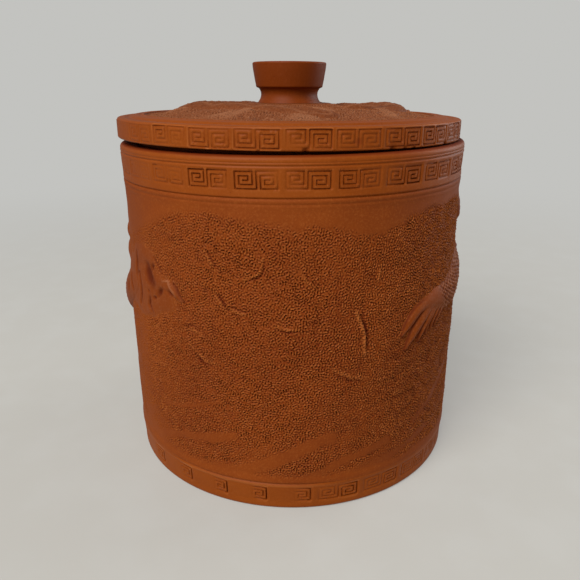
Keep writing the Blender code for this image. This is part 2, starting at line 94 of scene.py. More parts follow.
def unrolled(angle):
    """Way round the wall's flat drawing at an angle."""
    return np.radians(angle) * WRAP


def angle_at(across):
    return np.degrees(across / WRAP)


def sampled(table, across, up, smooth=True):
    """A square table's values at places between its cells; it repeats after its own size."""
    size = len(table)
    left, low = np.floor(across).astype(int), np.floor(up).astype(int)
    s, t = across - left, up - low
    if smooth:
        s, t = ease(s), ease(t)
    left, low = left % size, low % size
    right, over = (left + 1) % size, (low + 1) % size
    lower = table[low, left] * (1 - s) + table[low, right] * s
    upper = table[over, left] * (1 - s) + table[over, right] * s
    return lower * (1 - t) + upper * t


NOISE = np.random.RandomState(7).uniform(-1, 1, (256, 256))


def rough(across, up, size, seed=0):
    """Two octaves of noise whose lumps are about size wide."""
    first = sampled(NOISE, across / size + 37.7 * seed, up / size + 91.3 * seed)
    second = sampled(NOISE, across / size * 2.3 + 11.1 * seed + 5, up / size * 2.3 + 29.9 * seed)
    return 0.7 * first + 0.3 * second


def rough_round(points, size, seed=0):
    """Noise by place in space, which closes without a seam round a turned piece."""
    return rough(points[:, 0] + 0.7 * points[:, 2], points[:, 1] - 0.6 * points[:, 2], size, seed)


GRAIN_CELLS = 1024
GRAIN_STEP = HALF_ROUND / GRAIN_CELLS  # the grain repeats twice round the wall


def grain_table(seed, size, spread):
    """Noise of one grain size that runs on without an edge, in units of its usual strength."""
    turns = np.fft.fftfreq(GRAIN_CELLS, GRAIN_STEP)
    far = np.hypot(turns[:, None], turns[None, :])
    band = np.exp(-(((far - 1 / size) * size / spread) ** 2))
    field = np.random.RandomState(seed).normal(size=(GRAIN_CELLS, GRAIN_CELLS))
    field = np.fft.ifft2(np.fft.fft2(field) * band).real
    return field / field.std()


PITS = grain_table(5, 0.87, 0.34)


def pitted(across, up, share):
    """Height of clay pressed all over with a blunt bristle, as strongly as share says, with pit for painted
    shade in its pits and crest for painted highlight on its crests.
    """
    field = sampled(PITS, across / GRAIN_STEP, up / GRAIN_STEP, smooth=False)
    hole, wall = np.clip(-field, 0, 1.8), np.clip(field, 0, 1.8)
    height = share * (-0.33 * hole + 0.16 * wall)
    return height, unit((hole - 0.1) / 1.25) * share, unit((wall - 0.1) / 1.15) * share


# Faces to draw on


def wall_radius(height):
    radius = WALL_KNOTS[-1][1]
    for (low, low_radius), (high, high_radius) in reversed(list(zip(WALL_KNOTS, WALL_KNOTS[1:]))):
        between = low_radius + (high_radius - low_radius) * ease((height - low) / (high - low))
        radius = np.where(height <= high, between, radius)
    return radius


def radius_at(height):
    return float(wall_radius(height))


def slanted(points):
    """Lifts the shoulder and rim a little towards +X, as the jar leans."""
    share = ease((points[:, 2] - SHOULDER_LOW) / (JAR_HEIGHT - SHOULDER_LOW))
    points[:, 2] += RIM_SLANT * points[:, 0] * share
    return points


def turned_to(angle, radius, height):
    """Points from an angle in radians off the front, a radius and a height."""
    return np.column_stack((radius * np.sin(angle), -radius * np.cos(angle), height))


def on_wall(across, up, out):
    return slanted(turned_to(across / WRAP, wall_radius(up) + out, up))


def seated(points):
    """Moves points drawn about the lid's own axis to where the lid sits, a little off centre and tipped."""
    turn = np.array(Matrix.Rotation(math.atan(LID_TILT), 3, "Y"))
    return points @ turn.T + np.array(LID_PLACE)


def lid_top(radius, angle=0.0):
    """The lid's upper face over its lower edge: rim, step up to the relief's ground, and the knob's land."""
    edge = radius + 1.8 * np.sin(angle * 3 + 1) + 1.1 * np.sin(angle * 7 + 0.4)
    return 7.45 + 3.35 * ease((52.5 - edge) / 19) + 1.0 * ease((21 - radius) / 6)


def lid_line(radii, drop=0.0):
    """Points of a profile that lies drop below the lid's upper face."""
    return [(float(radius), float(lid_top(radius)) - drop) for radius in radii]


def on_lid(across, up, out):
    top = lid_top(np.hypot(across, up), np.arctan2(across, -up))
    return seated(np.column_stack((across, up, top + out)))


# Meshes


def read_points(mesh):
    points = np.empty(len(mesh.vertices) * 3, np.float32)
    mesh.vertices.foreach_get("co", points)
    return points.reshape(-1, 3).astype(float)


def read_round(mesh):
    """The mesh's points, and each one's angle in radians off the front and radius."""
    points = read_points(mesh)
    return points, np.arctan2(points[:, 0], -points[:, 1]), np.hypot(points[:, 0], points[:, 1])


def read_tag(mesh, name):
    values = np.empty(len(mesh.vertices), np.int32)
    mesh.attributes[name].data.foreach_get("value", values)
    return values


def made(name, shape):
    mesh = bpy.data.meshes.new(name)
    shape.to_mesh(mesh)
    shape.free()
    piece = bpy.data.objects.new(name, mesh)
    bpy.context.scene.collection.objects.link(piece)
    return piece


def dressed(piece, points, body, node, material, carved=False, **shades):
    """Moves a piece to points in millimetres, keeps pit and crest for its colour (painted shade and painted
    highlight, and a few chips), ties it to its body and hides the solid it replaces.
    """
    mesh = piece.data
    mesh.vertices.foreach_set("co", (points * MM).astype(np.float32).ravel())
    mesh.update()
    for name, values in shades.items():
        layer = mesh.attributes.new(name, "FLOAT", "POINT")
        layer.data.foreach_set("value", unit(values).astype(np.float32))
    mesh.shade_smooth()
    mesh.set_sharp_from_angle(angle=math.radians(62 if carved else 50))
    mesh.materials.append(material)
    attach(piece, body)
    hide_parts(node)


def spun(name, profile, columns, start=0.0, sweep=360.0):
    """A profile of (radius, height) wrapped round the axis, with each vertex's row and column kept on it.

    A closed profile is a ring; one that starts and ends on the axis is a solid; a part turn gets end faces.
    """
    solid = profile[0][0] == 0 and profile[-1][0] == 0
    whole = sweep == 360
    rows = len(profile) - 1 if solid else len(profile)
    shape = bmesh.new()
    bmesh.ops.create_grid(shape, x_segments=columns, y_segments=rows, size=1)
    row_tag, column_tag = shape.verts.layers.int.new("row"), shape.verts.layers.int.new("column")
    turns = [math.radians(start + sweep * step / columns) for step in range(columns + 1)]
    turns = [(math.sin(turn), -math.cos(turn)) for turn in turns]
    seam = []
    for vertex in shape.verts:
        column, row = round((vertex.co.x + 1) / 2 * columns), round((1 - vertex.co.y) / 2 * rows)
        if (whole and column in (0, columns)) or row in (0, rows):
            seam.append(vertex)
        column, row = column % columns if whole else column, row if solid else row % rows
        vertex[row_tag], vertex[column_tag] = row, column
        radius, height = profile[row]
        vertex.co = (radius * turns[column][0], radius * turns[column][1], height)
    bmesh.ops.remove_doubles(shape, verts=seam, dist=0.001)
    if not whole:
        bmesh.ops.holes_fill(shape, edges=[edge for edge in shape.edges if edge.is_boundary])
    bmesh.ops.recalc_face_normals(shape, faces=shape.faces)
    return made(name, shape)


# Clay materials


def new_material(name):
    """A material with its node tree and its shader."""
    material = bpy.data.materials.new(name)
    material.use_nodes = True
    return material, material.node_tree, material.node_tree.nodes["Principled BSDF"]


def add(tree, kind, inputs=(), **settings):
    """Adds a node with its settings, and sets or links its inputs, given as (name or number, value)."""
    made_node = tree.nodes.new(kind)
    for key, value in settings.items():
        setattr(made_node, key, value)
    for key, value in inputs:
        if isinstance(value, bpy.types.NodeSocket):
            tree.links.new(value, made_node.inputs[key])
        else:
            made_node.inputs[key].default_value = value
    return made_node


def blended(tree, share, first, second):
    return add(tree, "ShaderNodeMix", ((0, share), (6, first), (7, second)), data_type="RGBA").outputs[2]


def sum_of(tree, operation, *values):
    return add(tree, "ShaderNodeMath", enumerate(values), operation=operation).outputs[0]


def ramp(tree, value, low, high, to_low=0.0, to_high=1.0):
    names = ("Value", "From Min", "From Max", "To Min", "To Max")
    inputs = zip(names, (value, low, high, to_low, to_high))
    return add(tree, "ShaderNodeMapRange", inputs, interpolation_type="SMOOTHSTEP").outputs[0]


def clay_group():
    """Fired clay: drifting kiln colour, grain and specks, with painted shade where a piece keeps pit and
    painted highlight where it keeps crest.
    """
    group = bpy.data.node_groups.new("fired_clay", "ShaderNodeTree")
    for way, kind, names in (
        ("INPUT", "NodeSocketColor", ("Clay", "Toasted", "Speck and Shade", "Bloom and Highlight")),
        ("INPUT", "NodeSocketFloat", ("Drift", "Grain", "Roughness")),
        ("OUTPUT", "NodeSocketColor", ("Color",)),
        ("OUTPUT", "NodeSocketFloat", ("Roughness", "Height")),
    ):
        for name in names:
            group.interface.new_socket(name, in_out=way, socket_type=kind)
    given = group.nodes.new("NodeGroupInput").outputs
    place = group.nodes.new("ShaderNodeTexCoord").outputs["Object"]

    def texture(scale, detail, roughness=0.55, distortion=0.0):
        inputs = (("Vector", place), ("Scale", scale), ("Detail", detail), ("Roughness", roughness))
        return add(group, "ShaderNodeTexNoise", (*inputs, ("Distortion", distortion))).outputs["Fac"]

    def kept(name):
        return add(group, "ShaderNodeAttribute", attribute_name=name).outputs["Fac"]

    def times(first, second):
        return sum_of(group, "MULTIPLY", first, second)

    patches = ramp(group, texture(120, 3), 0.35, 0.7)
    grain = texture(1500, 2)
    fine = texture(5200, 1)
    specks = add(group, "ShaderNodeTexVoronoi", (("Vector", place), ("Scale", 520), ("Randomness", 1)))
    chosen = ramp(group, texture(260, 1), 0.56, 0.62)
    speck = times(ramp(group, specks.outputs["Distance"], 0.16, 0.05), chosen)
    pit = kept("pit")
    colour = given["Clay"]
    for share, tone in (
        (times(ramp(group, texture(24, 4, 0.6, 0.4), 0.36, 0.66), given["Drift"]), "Toasted"),
        (times(patches, 0.22), "Toasted"),
        (times(ramp(group, grain, 0.45, 0.75), times(given["Grain"], 0.5)), "Bloom and Highlight"),
        (times(ramp(group, fine, 0.52, 0.3), times(given["Grain"], 0.45)), "Speck and Shade"),
        (times(speck, 0.45), "Speck and Shade"),
        # Painted highlight on ridges from crest, painted shade in hollows from pit
        (times(kept("crest"), 0.75), "Bloom and Highlight"),
        (times(pit, 0.92), "Speck and Shade"),
    ):
        colour = blended(group, share, colour, given[tone])

    worn = sum_of(group, "ADD", given["Roughness"], sum_of(group, "MULTIPLY_ADD", grain, 0.22, -0.1))
    roughness = sum_of(group, "MULTIPLY_ADD", pit, 0.2, worn)
    height = times(sum_of(group, "MULTIPLY_ADD", fine, 0.35, grain), given["Grain"])
    height = sum_of(group, "MULTIPLY_ADD", patches, 0.3, height)
    add(group, "NodeGroupOutput", (("Color", colour), ("Roughness", roughness), ("Height", height)))
    return group


def clay(group, name, drift, grain, roughness, bump, *tones):
    """A clay with its plain and toasted tones, its dark tone for specks and painted shade, and its light
    tone for bloom and painted highlight.
    """
    material, tree, shader = new_material(name)
    body = tree.nodes.new("ShaderNodeGroup")
    body.node_tree = group
    named = zip(("Clay", "Toasted", "Speck and Shade", "Bloom and Highlight"), [(*tone, 1) for tone in tones])
    for key, value in (*named, ("Drift", drift), ("Grain", grain), ("Roughness", roughness)):
        body.inputs[key].default_value = value
    inputs = (("Height", body.outputs["Height"]), ("Strength", 0.6), ("Distance", bump))
    relief = add(tree, "ShaderNodeBump", inputs)
    tree.links.new(body.outputs["Color"], shader.inputs["Base Color"])
    tree.links.new(body.outputs["Roughness"], shader.inputs["Roughness"])
    tree.links.new(relief.outputs["Normal"], shader.inputs["Normal"])
    shader.inputs["Specular IOR Level"].default_value = 0.1
    return material


# Name, drift, grain, roughness and bump in metres, then the plain, toasted, speck-and-painted-shade and
# bloom-and-painted-highlight tones
CLAYS = (
    ("burnished_clay", 0.7, 0.3, 0.5, 0.00006,
     (0.234, 0.05, 0.003), (0.192, 0.036, 0.0015), (0.115, 0.012, 0.001), (0.37, 0.11, 0.025)),
    ("pitted_clay", 0.8, 0.5, 0.64, 0.0001,
     (0.2, 0.036, 0.0015), (0.158, 0.025, 0.001), (0.066, 0.004, 0.0005), (0.37, 0.112, 0.022)),
    ("carved_clay", 0.8, 0.45, 0.6, 0.0001,
     (0.196, 0.038, 0.002), (0.158, 0.027, 0.001), (0.075, 0.008, 0.0005), (0.34, 0.14, 0.065)),
    # The lid top's clay is painted greyer and bluer: a painted sheen for the reflection seen on it at a
    # grazing angle
    ("lid_clay_painted_sheen", 0.8, 0.5, 0.6, 0.0001,
     (0.185, 0.047, 0.011), (0.15, 0.036, 0.008), (0.06, 0.011, 0.003), (0.32, 0.13, 0.06)),
    ("knob_clay", 0.6, 0.3, 0.5, 0.00006,
     (0.185, 0.034, 0.002), (0.15, 0.025, 0.0015), (0.06, 0.007, 0.001), (0.28, 0.07, 0.02)),
)
FIRED_CLAY = clay_group()
BURNISHED, GROUND, CARVED, LID_SHEEN_CLAY, THROWN = [clay(FIRED_CLAY, *values) for values in CLAYS]


# The pot: floor, inside and lip


def arc(centre_radius, centre_height, size, start, end, steps):
    points = []
    for step in range(steps + 1):
        angle = math.radians(start + (end - start) * step / steps)
        points.append((centre_radius + size * math.cos(angle), centre_height + size * math.sin(angle)))
    return points


def down(high, low, step):
    """Points down the wall's outside from high to low, about step apart, both ends included."""
    count = max(2, int(round((high - low) / step)) + 1)
    return [(radius_at(height), float(height)) for height in np.linspace(high, low, count)]


def half_line(height, side, depth=LINE_DEPTH):
    """Half of a turned line, from its bottom out to the face above it (side 1) or below it (side -1)."""
    radius = radius_at(height)
    return [(radius - depth * deep, height + side * LINE_HALF * off)
            for deep, off in ((1, 0), (0.72, 0.35), (0.18, 0.72), (0, 1))]


def wiped_shut(angle):
    """How far the line over the foot was wiped shut at angles in radians; it is open left of the middle."""
    turn = off_front(np.degrees(angle))
    right = 0.9 * ease((turn - 2) / 14) * ease((95 - turn) / 12)
    return right + 0.85 * ease((-34 - turn) / 10) * ease((turn + 110) / 12)


def make_pot():
    inside = [(radius - WALL_THICK, height) for radius, height in reversed(down(121, 14, 2))]
    lip = radius_at(JAR_HEIGHT)
    recess = HIDDEN - 0.1
    profile = [(0, FLOOR_THICK), (20, 6.95), (40, 6.95)]
    profile += arc(inside[0][0] - INNER_BEND, 14, INNER_BEND, -90, 0, 10) + inside[1:]
    profile += arc(lip - WALL_THICK + 1.3, JAR_HEIGHT - 1.3, 1.3, 180, 90, 5)
    profile += arc(lip - 1.6, JAR_HEIGHT - 1.6, 1.6, 90, 8, 6)
    profile += [(lip - 0.02, 122), (lip - 0.16, 121.85), (lip - 0.02, 121.65)]
    profile += half_line(UPPER_LINE, 1, FAINT_DEPTH)[::-1]
    profile += [(recess, UPPER_LINE), (recess, 1.2), (recess, 0), (0, 0)]
    pot = spun("jar_pot", profile, 288)
    points, angle, radius = read_round(pot.data)
    up = points[:, 2]
    hidden = (np.abs(radius - recess) < 0.01) & (up < UPPER_LINE + 0.1)
    wave = 0.1 * rough_round(points, 14, 1) + 0.06 * np.sin(up * 1.9 + angle * 2)
    wave = np.where(hidden | (radius < 15) | (up > UPPER_LINE - 0.3) & (radius > 62), 0, wave)
    lip_wave = np.where(up > UPPER_LINE + 1, 0.05 * rough_round(points, 9, 2) - 0.06, 0)
    # Painted shade: the lip's top, under the lid's edge, is darkened for the shadowed gap between jar and
    # lid
    painted_gap_shade = ease((up - JAR_HEIGHT + 0.75) / 0.6) * (0.85 + 0.15 * rough_round(points, 6, 17))
    points = slanted(turned_to(angle, radius - np.abs(wave) * 0.7 + lip_wave, up))
    dressed(pot, points, "jar", "jar_body", BURNISHED, pit=painted_gap_shade)


# The pitted ground of the wall

SECTORS = ("wall_left_back", "wall_left_side", "wall_plain_side", "wall_right_side", "wall_right_back")
WALL_COLUMNS = 1400
FINE_LOW, FINE_HIGH, FINE_STEP = 13.8, 107, 0.3117
FAINT_LINE = 109.55
JOINT_BLEND = 20  # how far from the back's joint the drawing's two ends are blended

# Upper and lower edge of the pits: (angle, height)
TOP_EDGE = ((-180, 97), (-75, 92), (-60, 96), (-48, 101), (-38, 105.5), (-28, 107.4), (-15, 107),
            (-6, 105.2), (4, 104.3), (12, 103.2), (20, 101.2), (27, 101.6), (36, 106), (46, 107), (75, 107),
            (110, 104), (150, 100), (180, 97))
LOW_EDGE = ((-180, 16), (-75, 14), (-52, 15), (-43, 12.6), (-25, 11.4), (-10, 12), (55, 11.6), (75, 13),
            (180, 16))

# Strokes where a wet hand wiped the pits away: (angle, height) from end to end, and half width
WIPED = (
    (((-34, 11), (-25, 12.2), (-14.2, 15.3), (-5.8, 20), (-0.1, 23.2), (5.5, 26.7), (11, 29)), 3.5),
    (((-4, 11), (2, 12.2), (5.6, 14.1), (11.4, 17), (16.2, 19.3), (22.6, 20.8), (30, 23)), 2.4),
    (((18, 11.3), (26.3, 14.2), (34.6, 16.4), (41.7, 18.3), (50, 20)), 2.2),
    (((-52, 16), (-44, 20), (-36, 23.2), (-26, 25.6), (-18, 28.5)), 2.3),
    (((-44, 33), (-32, 36.5), (-22, 41)), 1.3),
    (((42, 26), (52, 32), (64, 40)), 2.2),
    (((96, 14), (112, 33), (124, 22)), 3),
    (((-164, 18), (-148, 24), (-128, 36)), 3),
    (((-98, 30), (-80, 38), (-64, 42)), 3),
    (((-62, 73), (-50, 73), (-41.5, 74)), 5),
)

# Cracks, folds and dents: (angle, height) from end to end, half width, depth, and the lip beside it
MARKS = (
    (((-24.6, 93.6), (-23.3, 90.8), (-22.2, 88.9)), 0.65, 0.65, -1),
    (((-21.6, 79.6), (-20.6, 78), (-18.6, 75)), 0.7, 0.6, -0.6),
    (((19.4, 73), (20.6, 69.6), (21.5, 66.2), (21.6, 61.2)), 1, 0.8, -2.6),
    (((-17.8, 76.2), (-15.6, 75.4), (-13, 74.8)), 0.7, 0.45, -0.8),
    (((-12.6, 85.2), (-9.8, 86.4), (-8.2, 88), (-7.6, 91.4)), 0.8, 0.45, 0.8),
    (((-4, 69.4), (-1.8, 68.6), (0.8, 68.8)), 0.75, 0.5, 1),
    (((6, 72.6), (6.4, 71.4)), 0.7, 0.4, 0.6),
    (((3.4, 88), (4.2, 86.2), (6, 84.6)), 0.8, 0.3, -0.7),
    (((25.6, 88.6), (25, 86), (24.6, 83.4)), 0.8, -0.25, 0),
    (((12, 53), (16.5, 50), (20, 49.2)), 1.2, 0.35, 0.7),
    (((-31, 58), (-27, 54.5), (-24, 54)), 1.2, 0.35, 0.7),
    (((-34, 66.5), (-30.5, 67.6), (-28, 66.4)), 1, 0.3, -0.7),
    (((150, 96), (154, 92)), 0.8, 0.4, 0.7),
    (((-160, 36), (-154, 33), (-150, 33.5)), 1, 0.4, 0.7),
    (((96, 30), (100, 27)), 0.9, 0.35, 0.6),
)

# The hollows between the reaching claw's toes, cut in claw and ground: places, half width, depth
CLAW_CUTS = (
    (((-59.4, 86.2), (-59.6, 82.4), (-59, 79)), 2, 0.7),
    (((-59, 79.8), (-56.8, 79.4), (-55.6, 76), (-55.6, 72.2), (-56.6, 68.6)), 1.3, 0.75),
    (((-65.4, 76.4), (-64.6, 74.4), (-62.6, 71.4)), 1.4, 0.65),
    (((-68.8, 72.6), (-68.8, 69.4)), 1.4, 0.55),
    (((-47.5, 84.5), (-48.1, 83.2)), 1.4, 0.85),
    (((-50.9, 83.4), (-50.4, 81.6), (-49.6, 80), (-47.6, 78.4)), 3.1, 1.15),
    (((-46.9, 87.8), (-45.4, 85.9), (-44, 84.4), (-42.9, 82.7)), 0.7, 0.55),
    (((-43.1, 77), (-44.6, 74.8)), 1.5, 0.9),
    (((-39.6, 77.2), (-38.5, 76.3)), 1.05, 0.85),
    (((-50.2, 75.1), (-49.8, 74.4)), 0.8, 0.55),
    (((-47.4, 73.1), (-46, 73.4)), 0.9, 0.7),
    (((-49.6, 72.6), (-50.3, 69.8), (-48.4, 67.5)), 1.15, 0.75),
    (((-38.1, 80.6), (-36.6, 79.3), (-35.2, 77), (-33.4, 74.8)), 0.7, 0.65),
)


def laid(route):
    """Moves places of (angle, height, and any sizes) to the wall's flat drawing."""
    return [(float(unrolled(angle)), *rest) for angle, *rest in route]


def knots_at(knots, values):
    return np.interp(values, [a for a, _ in knots], [b for _, b in knots])


def segment_distance(across, up, start, end):
    """Distance and signed distance from a straight stretch, and the share along it."""
    run, rise = end[0] - start[0], end[1] - start[1]
    length = math.hypot(run, rise)
    along = unit(((across - start[0]) * run + (up - start[1]) * rise) / length**2)
    gap_across, gap_up = across - start[0] - along * run, up - start[1] - along * rise
    side = (gap_up * run - gap_across * rise) / length
    return np.hypot(gap_across, gap_up), side, along


def groove(across, up, places, half, depth, lip=0.0):
    """A cut that fades at its ends, with a ridge thrown up on one side where lip isn't nothing."""
    places = laid(places)
    best, side, share = 1e9, 0.0, 0.0
    for number, (start, end) in enumerate(zip(places, places[1:])):
        distance, signed, along = segment_distance(across, up, start, end)
        nearer = distance < best
        best = np.where(nearer, distance, best)
        side = np.where(nearer, signed, side)
        share = np.where(nearer, (number + along) / (len(places) - 1), share)
    taper = 0.35 + 0.65 * np.sin(np.pi * np.clip(share, 0.05, 0.95))
    cut = -depth * hump(best, half) * taper
    if lip:
        towards = side * math.copysign(1, lip)
        cut += abs(lip) * 0.4 * hump(towards - half * 1.4, half * 1.1) * (best < half * 3) * taper
    return cut


def pitted_share(angle, up):
    """How strongly the ground is pitted, from 0, burnished, to 1."""
    turn = off_front(angle)
    across = unrolled(angle)
    drift = rough(across, up, 9, 3)
    share = ease((knots_at(TOP_EDGE, turn) + 1.8 * drift - up) / 3.8)
    swept = rough(across * 0.3 - up * 0.1, up * 0.95 - across * 0.31, 5.2, 13)
    share *= ease((up - knots_at(LOW_EDGE, turn) - 1.6 * drift) / 5)
    share *= 1 - ease((44 - up) / 22) * ease((swept - 0.15) / 0.4) * 0.6
    share *= 1 - 0.6 * ease((-49 - turn) / 9) * ease((turn + 128 + 6 * drift) / 44)
    share *= 1 + 0.45 * ease((turn - 12) / 30) * ease((90 - turn) / 10)
    share *= 1 + (0.14 + 0.1 * hump(turn - 42, 26)) * ease((88 - up) / 14)
    for places, half in WIPED:
        for start, end in zip(laid(places), laid(places[1:])):
            gap, _, _ = segment_distance(across, up, start, end)
            share *= 1 - 0.88 * ease((half + 0.8 * drift - gap) / 1.8)
    return share * (0.9 + 0.2 * rough(across, up, 6, 4))


def drawn_ground(across, up, is_fine):
    """Height, pit and crest of the wall's clay before the turned lines and the marks."""
    share = pitted_share(angle_at(across), up) * is_fine
    pressed, pit, crest = pitted(across, up, share)
    lumps = 0.2 * rough(across, up, 12, 5) + 0.13 * rough(across, up, 4.2, 6) * share
    # Painted shade along soft creases; where the clay is burnished the light tone comes in a little
    crease = ease(1 - np.abs(rough(across, up, 8, 15)) / 0.1) * share
    crest = crest + 0.12 * (1 - np.minimum(share, 1))
    return np.array((-0.26 + lumps + pressed - 0.1 * crease, pit + 0.15 * crease, crest))


def make_ground():
    """Five closed sectors of the wall, pressed all over with pits, burnished out towards rim and foot."""
    fine = down(FINE_HIGH, FINE_LOW, FINE_STEP)
    profile = half_line(LOWER_LINE, -1)
    profile += [(radius_at(FAINT_LINE + off) - depth, FAINT_LINE + off)
                for off, depth in ((0.45, 0), (0.15, 0.16), (-0.15, 0.16), (-0.5, 0))]
    profile += down(FAINT_LINE - 1, FINE_HIGH + 0.5, 0.7)
    first_fine = len(profile)
    profile += fine + down(FINE_LOW - 0.6, FOOT_LINE + LINE_HALF + 0.6, 0.7) + half_line(FOOT_LINE, 1)[::-1]
    outer = len(profile)
    profile += [(HIDDEN, FOOT_LINE), (HIDDEN, LOWER_LINE)]
    step = 360 / WALL_COLUMNS

    def shaped(column, row):
        """Position, pit and crest of each vertex, from its column round the jar and its profile row."""
        across = unrolled(column * step)
        turned_radius, up = np.array(profile)[row].T
        is_fine = (row >= first_fine) & (row < first_fine + len(fine))
        face = drawn_ground(across, up, is_fine)
        turn = angle_at(across)
        # Painted shade: the ground is darkened towards the right side, where the light falls off, and a
        # little left of the middle
        painted_side_shade = 0.16 * ease((turn - 24) / 12) * ease((78 - turn) / 14) + 0.07 * hump(turn + 33, 22)
        face[1] += painted_side_shade * is_fine * hump(up - 52, 46)
        near = np.abs(across) > HALF_ROUND - JOINT_BLEND
        if near.any():
            beyond = across[near] - 2 * HALF_ROUND * np.sign(across[near])
            share = 0.5 * ease((np.abs(across[near]) - HALF_ROUND + JOINT_BLEND) / JOINT_BLEND)
            other = drawn_ground(beyond, up[near], is_fine[near])
            face[:, near] = face[:, near] * (1 - share) + other * share
        out, pit, crest = face
        uneven = 0.85 + 0.6 * rough(across, up, 1.6, 19)
        for places, half, depth, lip in MARKS:
            cut = groove(across, up, places, half * 0.85, depth * 1.1, lip) * uneven
            out += cut
            # Painted shade in the cuts and painted highlight on the lips beside them
            pit += np.clip(-cut * 1.4, 0, 0.85)
            crest += np.clip(cut * 2.6, 0, 0.8)
        for mark in CLAW_CUTS:
            cut = groove(across, up, *mark)
            out += cut
            # Painted shade in the claw's hollows
            pit += np.clip(-cut * 1.5, 0, 0.9)
        skin = row < outer
        out = out * skin * (ease((LOWER_LINE - 1 - up) / 3) * ease((up - FOOT_LINE - 1) / 2.5))
        facing = np.cos(across / WRAP)
        room = np.where(facing > 0.3, FRONT_LIMIT / np.maximum(facing, 0.3) - turned_radius, 9)
        closed = skin * (up < FOOT_LINE + LINE_HALF + 0.01) * wiped_shut(across / WRAP)
        radius = turned_radius + closed * (wall_radius(up) - turned_radius)
        points = slanted(turned_to(across / WRAP, radius + np.minimum(out, room), up))
        return points, unit(pit) * skin, unit(crest) * skin

    count = WALL_COLUMNS // len(SECTORS)
    for number, name in enumerate(SECTORS):
        first = (number - 2) * count - count // 2
        piece = spun(name, profile, count, first * step, count * step)
        points, pit, crest = shaped(read_tag(piece.data, "column") + first, read_tag(piece.data, "row"))
        dressed(piece, points, "jar", "jar_body", GROUND, pit=pit, crest=crest)


# Stamped key bands

KEY = 1.25  # one step of the key pattern, in which the key's sizes are given
KEY_WIDE, KEY_TALL, KEY_LEVEL = 5.3, 4.1, 1.025
KEY_STROKE = 0.29  # half width of a pressed line
RIGHT_KEY = ((0, 0), (5.3, 0), (5.3, 4.1), (1, 4.1), (1, 1.025), (4.3, 1.025), (4.3, 3.075), (2.05, 3.075),
             (2.05, 2.05), (3.3, 2.05))
KEY_UPRIGHTS = (0, 1, 2.05, 4.3, 5.3)
STROKE_SIDES = (0.3, 0.13, -0.13, -0.3)
RIM_KEYS, FOOT_KEYS, LID_KEYS = 119.35, 8.75, 6.02  # height of each band's upper strokes


def key_lines():
    """The strokes of one stamp: a link, the right key, and the same key turned half round; y runs down."""
    strokes = [((0, 0), (0, KEY_TALL))]
    for chain in (RIGHT_KEY, [(-x, KEY_TALL - y) for x, y in RIGHT_KEY]):
        strokes += zip(chain, chain[1:])
    return [((a[0] * KEY, -a[1] * KEY), (b[0] * KEY, -b[1] * KEY)) for a, b in strokes]


def stamp_columns(pitch):
    """Places across one stamp that lie on the edges and bottoms of its upright strokes."""
    edge = KEY_WIDE * KEY + 0.3
    uprights = [side * upright * KEY for upright in KEY_UPRIGHTS for side in (-1, 1)]
    places = {upright + off for upright in uprights for off in STROKE_SIDES}
    places |= {side * (3.3 * KEY + off) for side in (-1, 1) for off in (-0.22, 0.05, 0.3)}
    places |= {-edge - (pitch - 2 * edge) * share for share in (0.25, 0.5, 0.75)}
    return sorted({round(place, 4) for place in places})


def stamp_rows(top):
    return [top - level * KEY_LEVEL * KEY + off for level in range(5) for off in STROKE_SIDES]


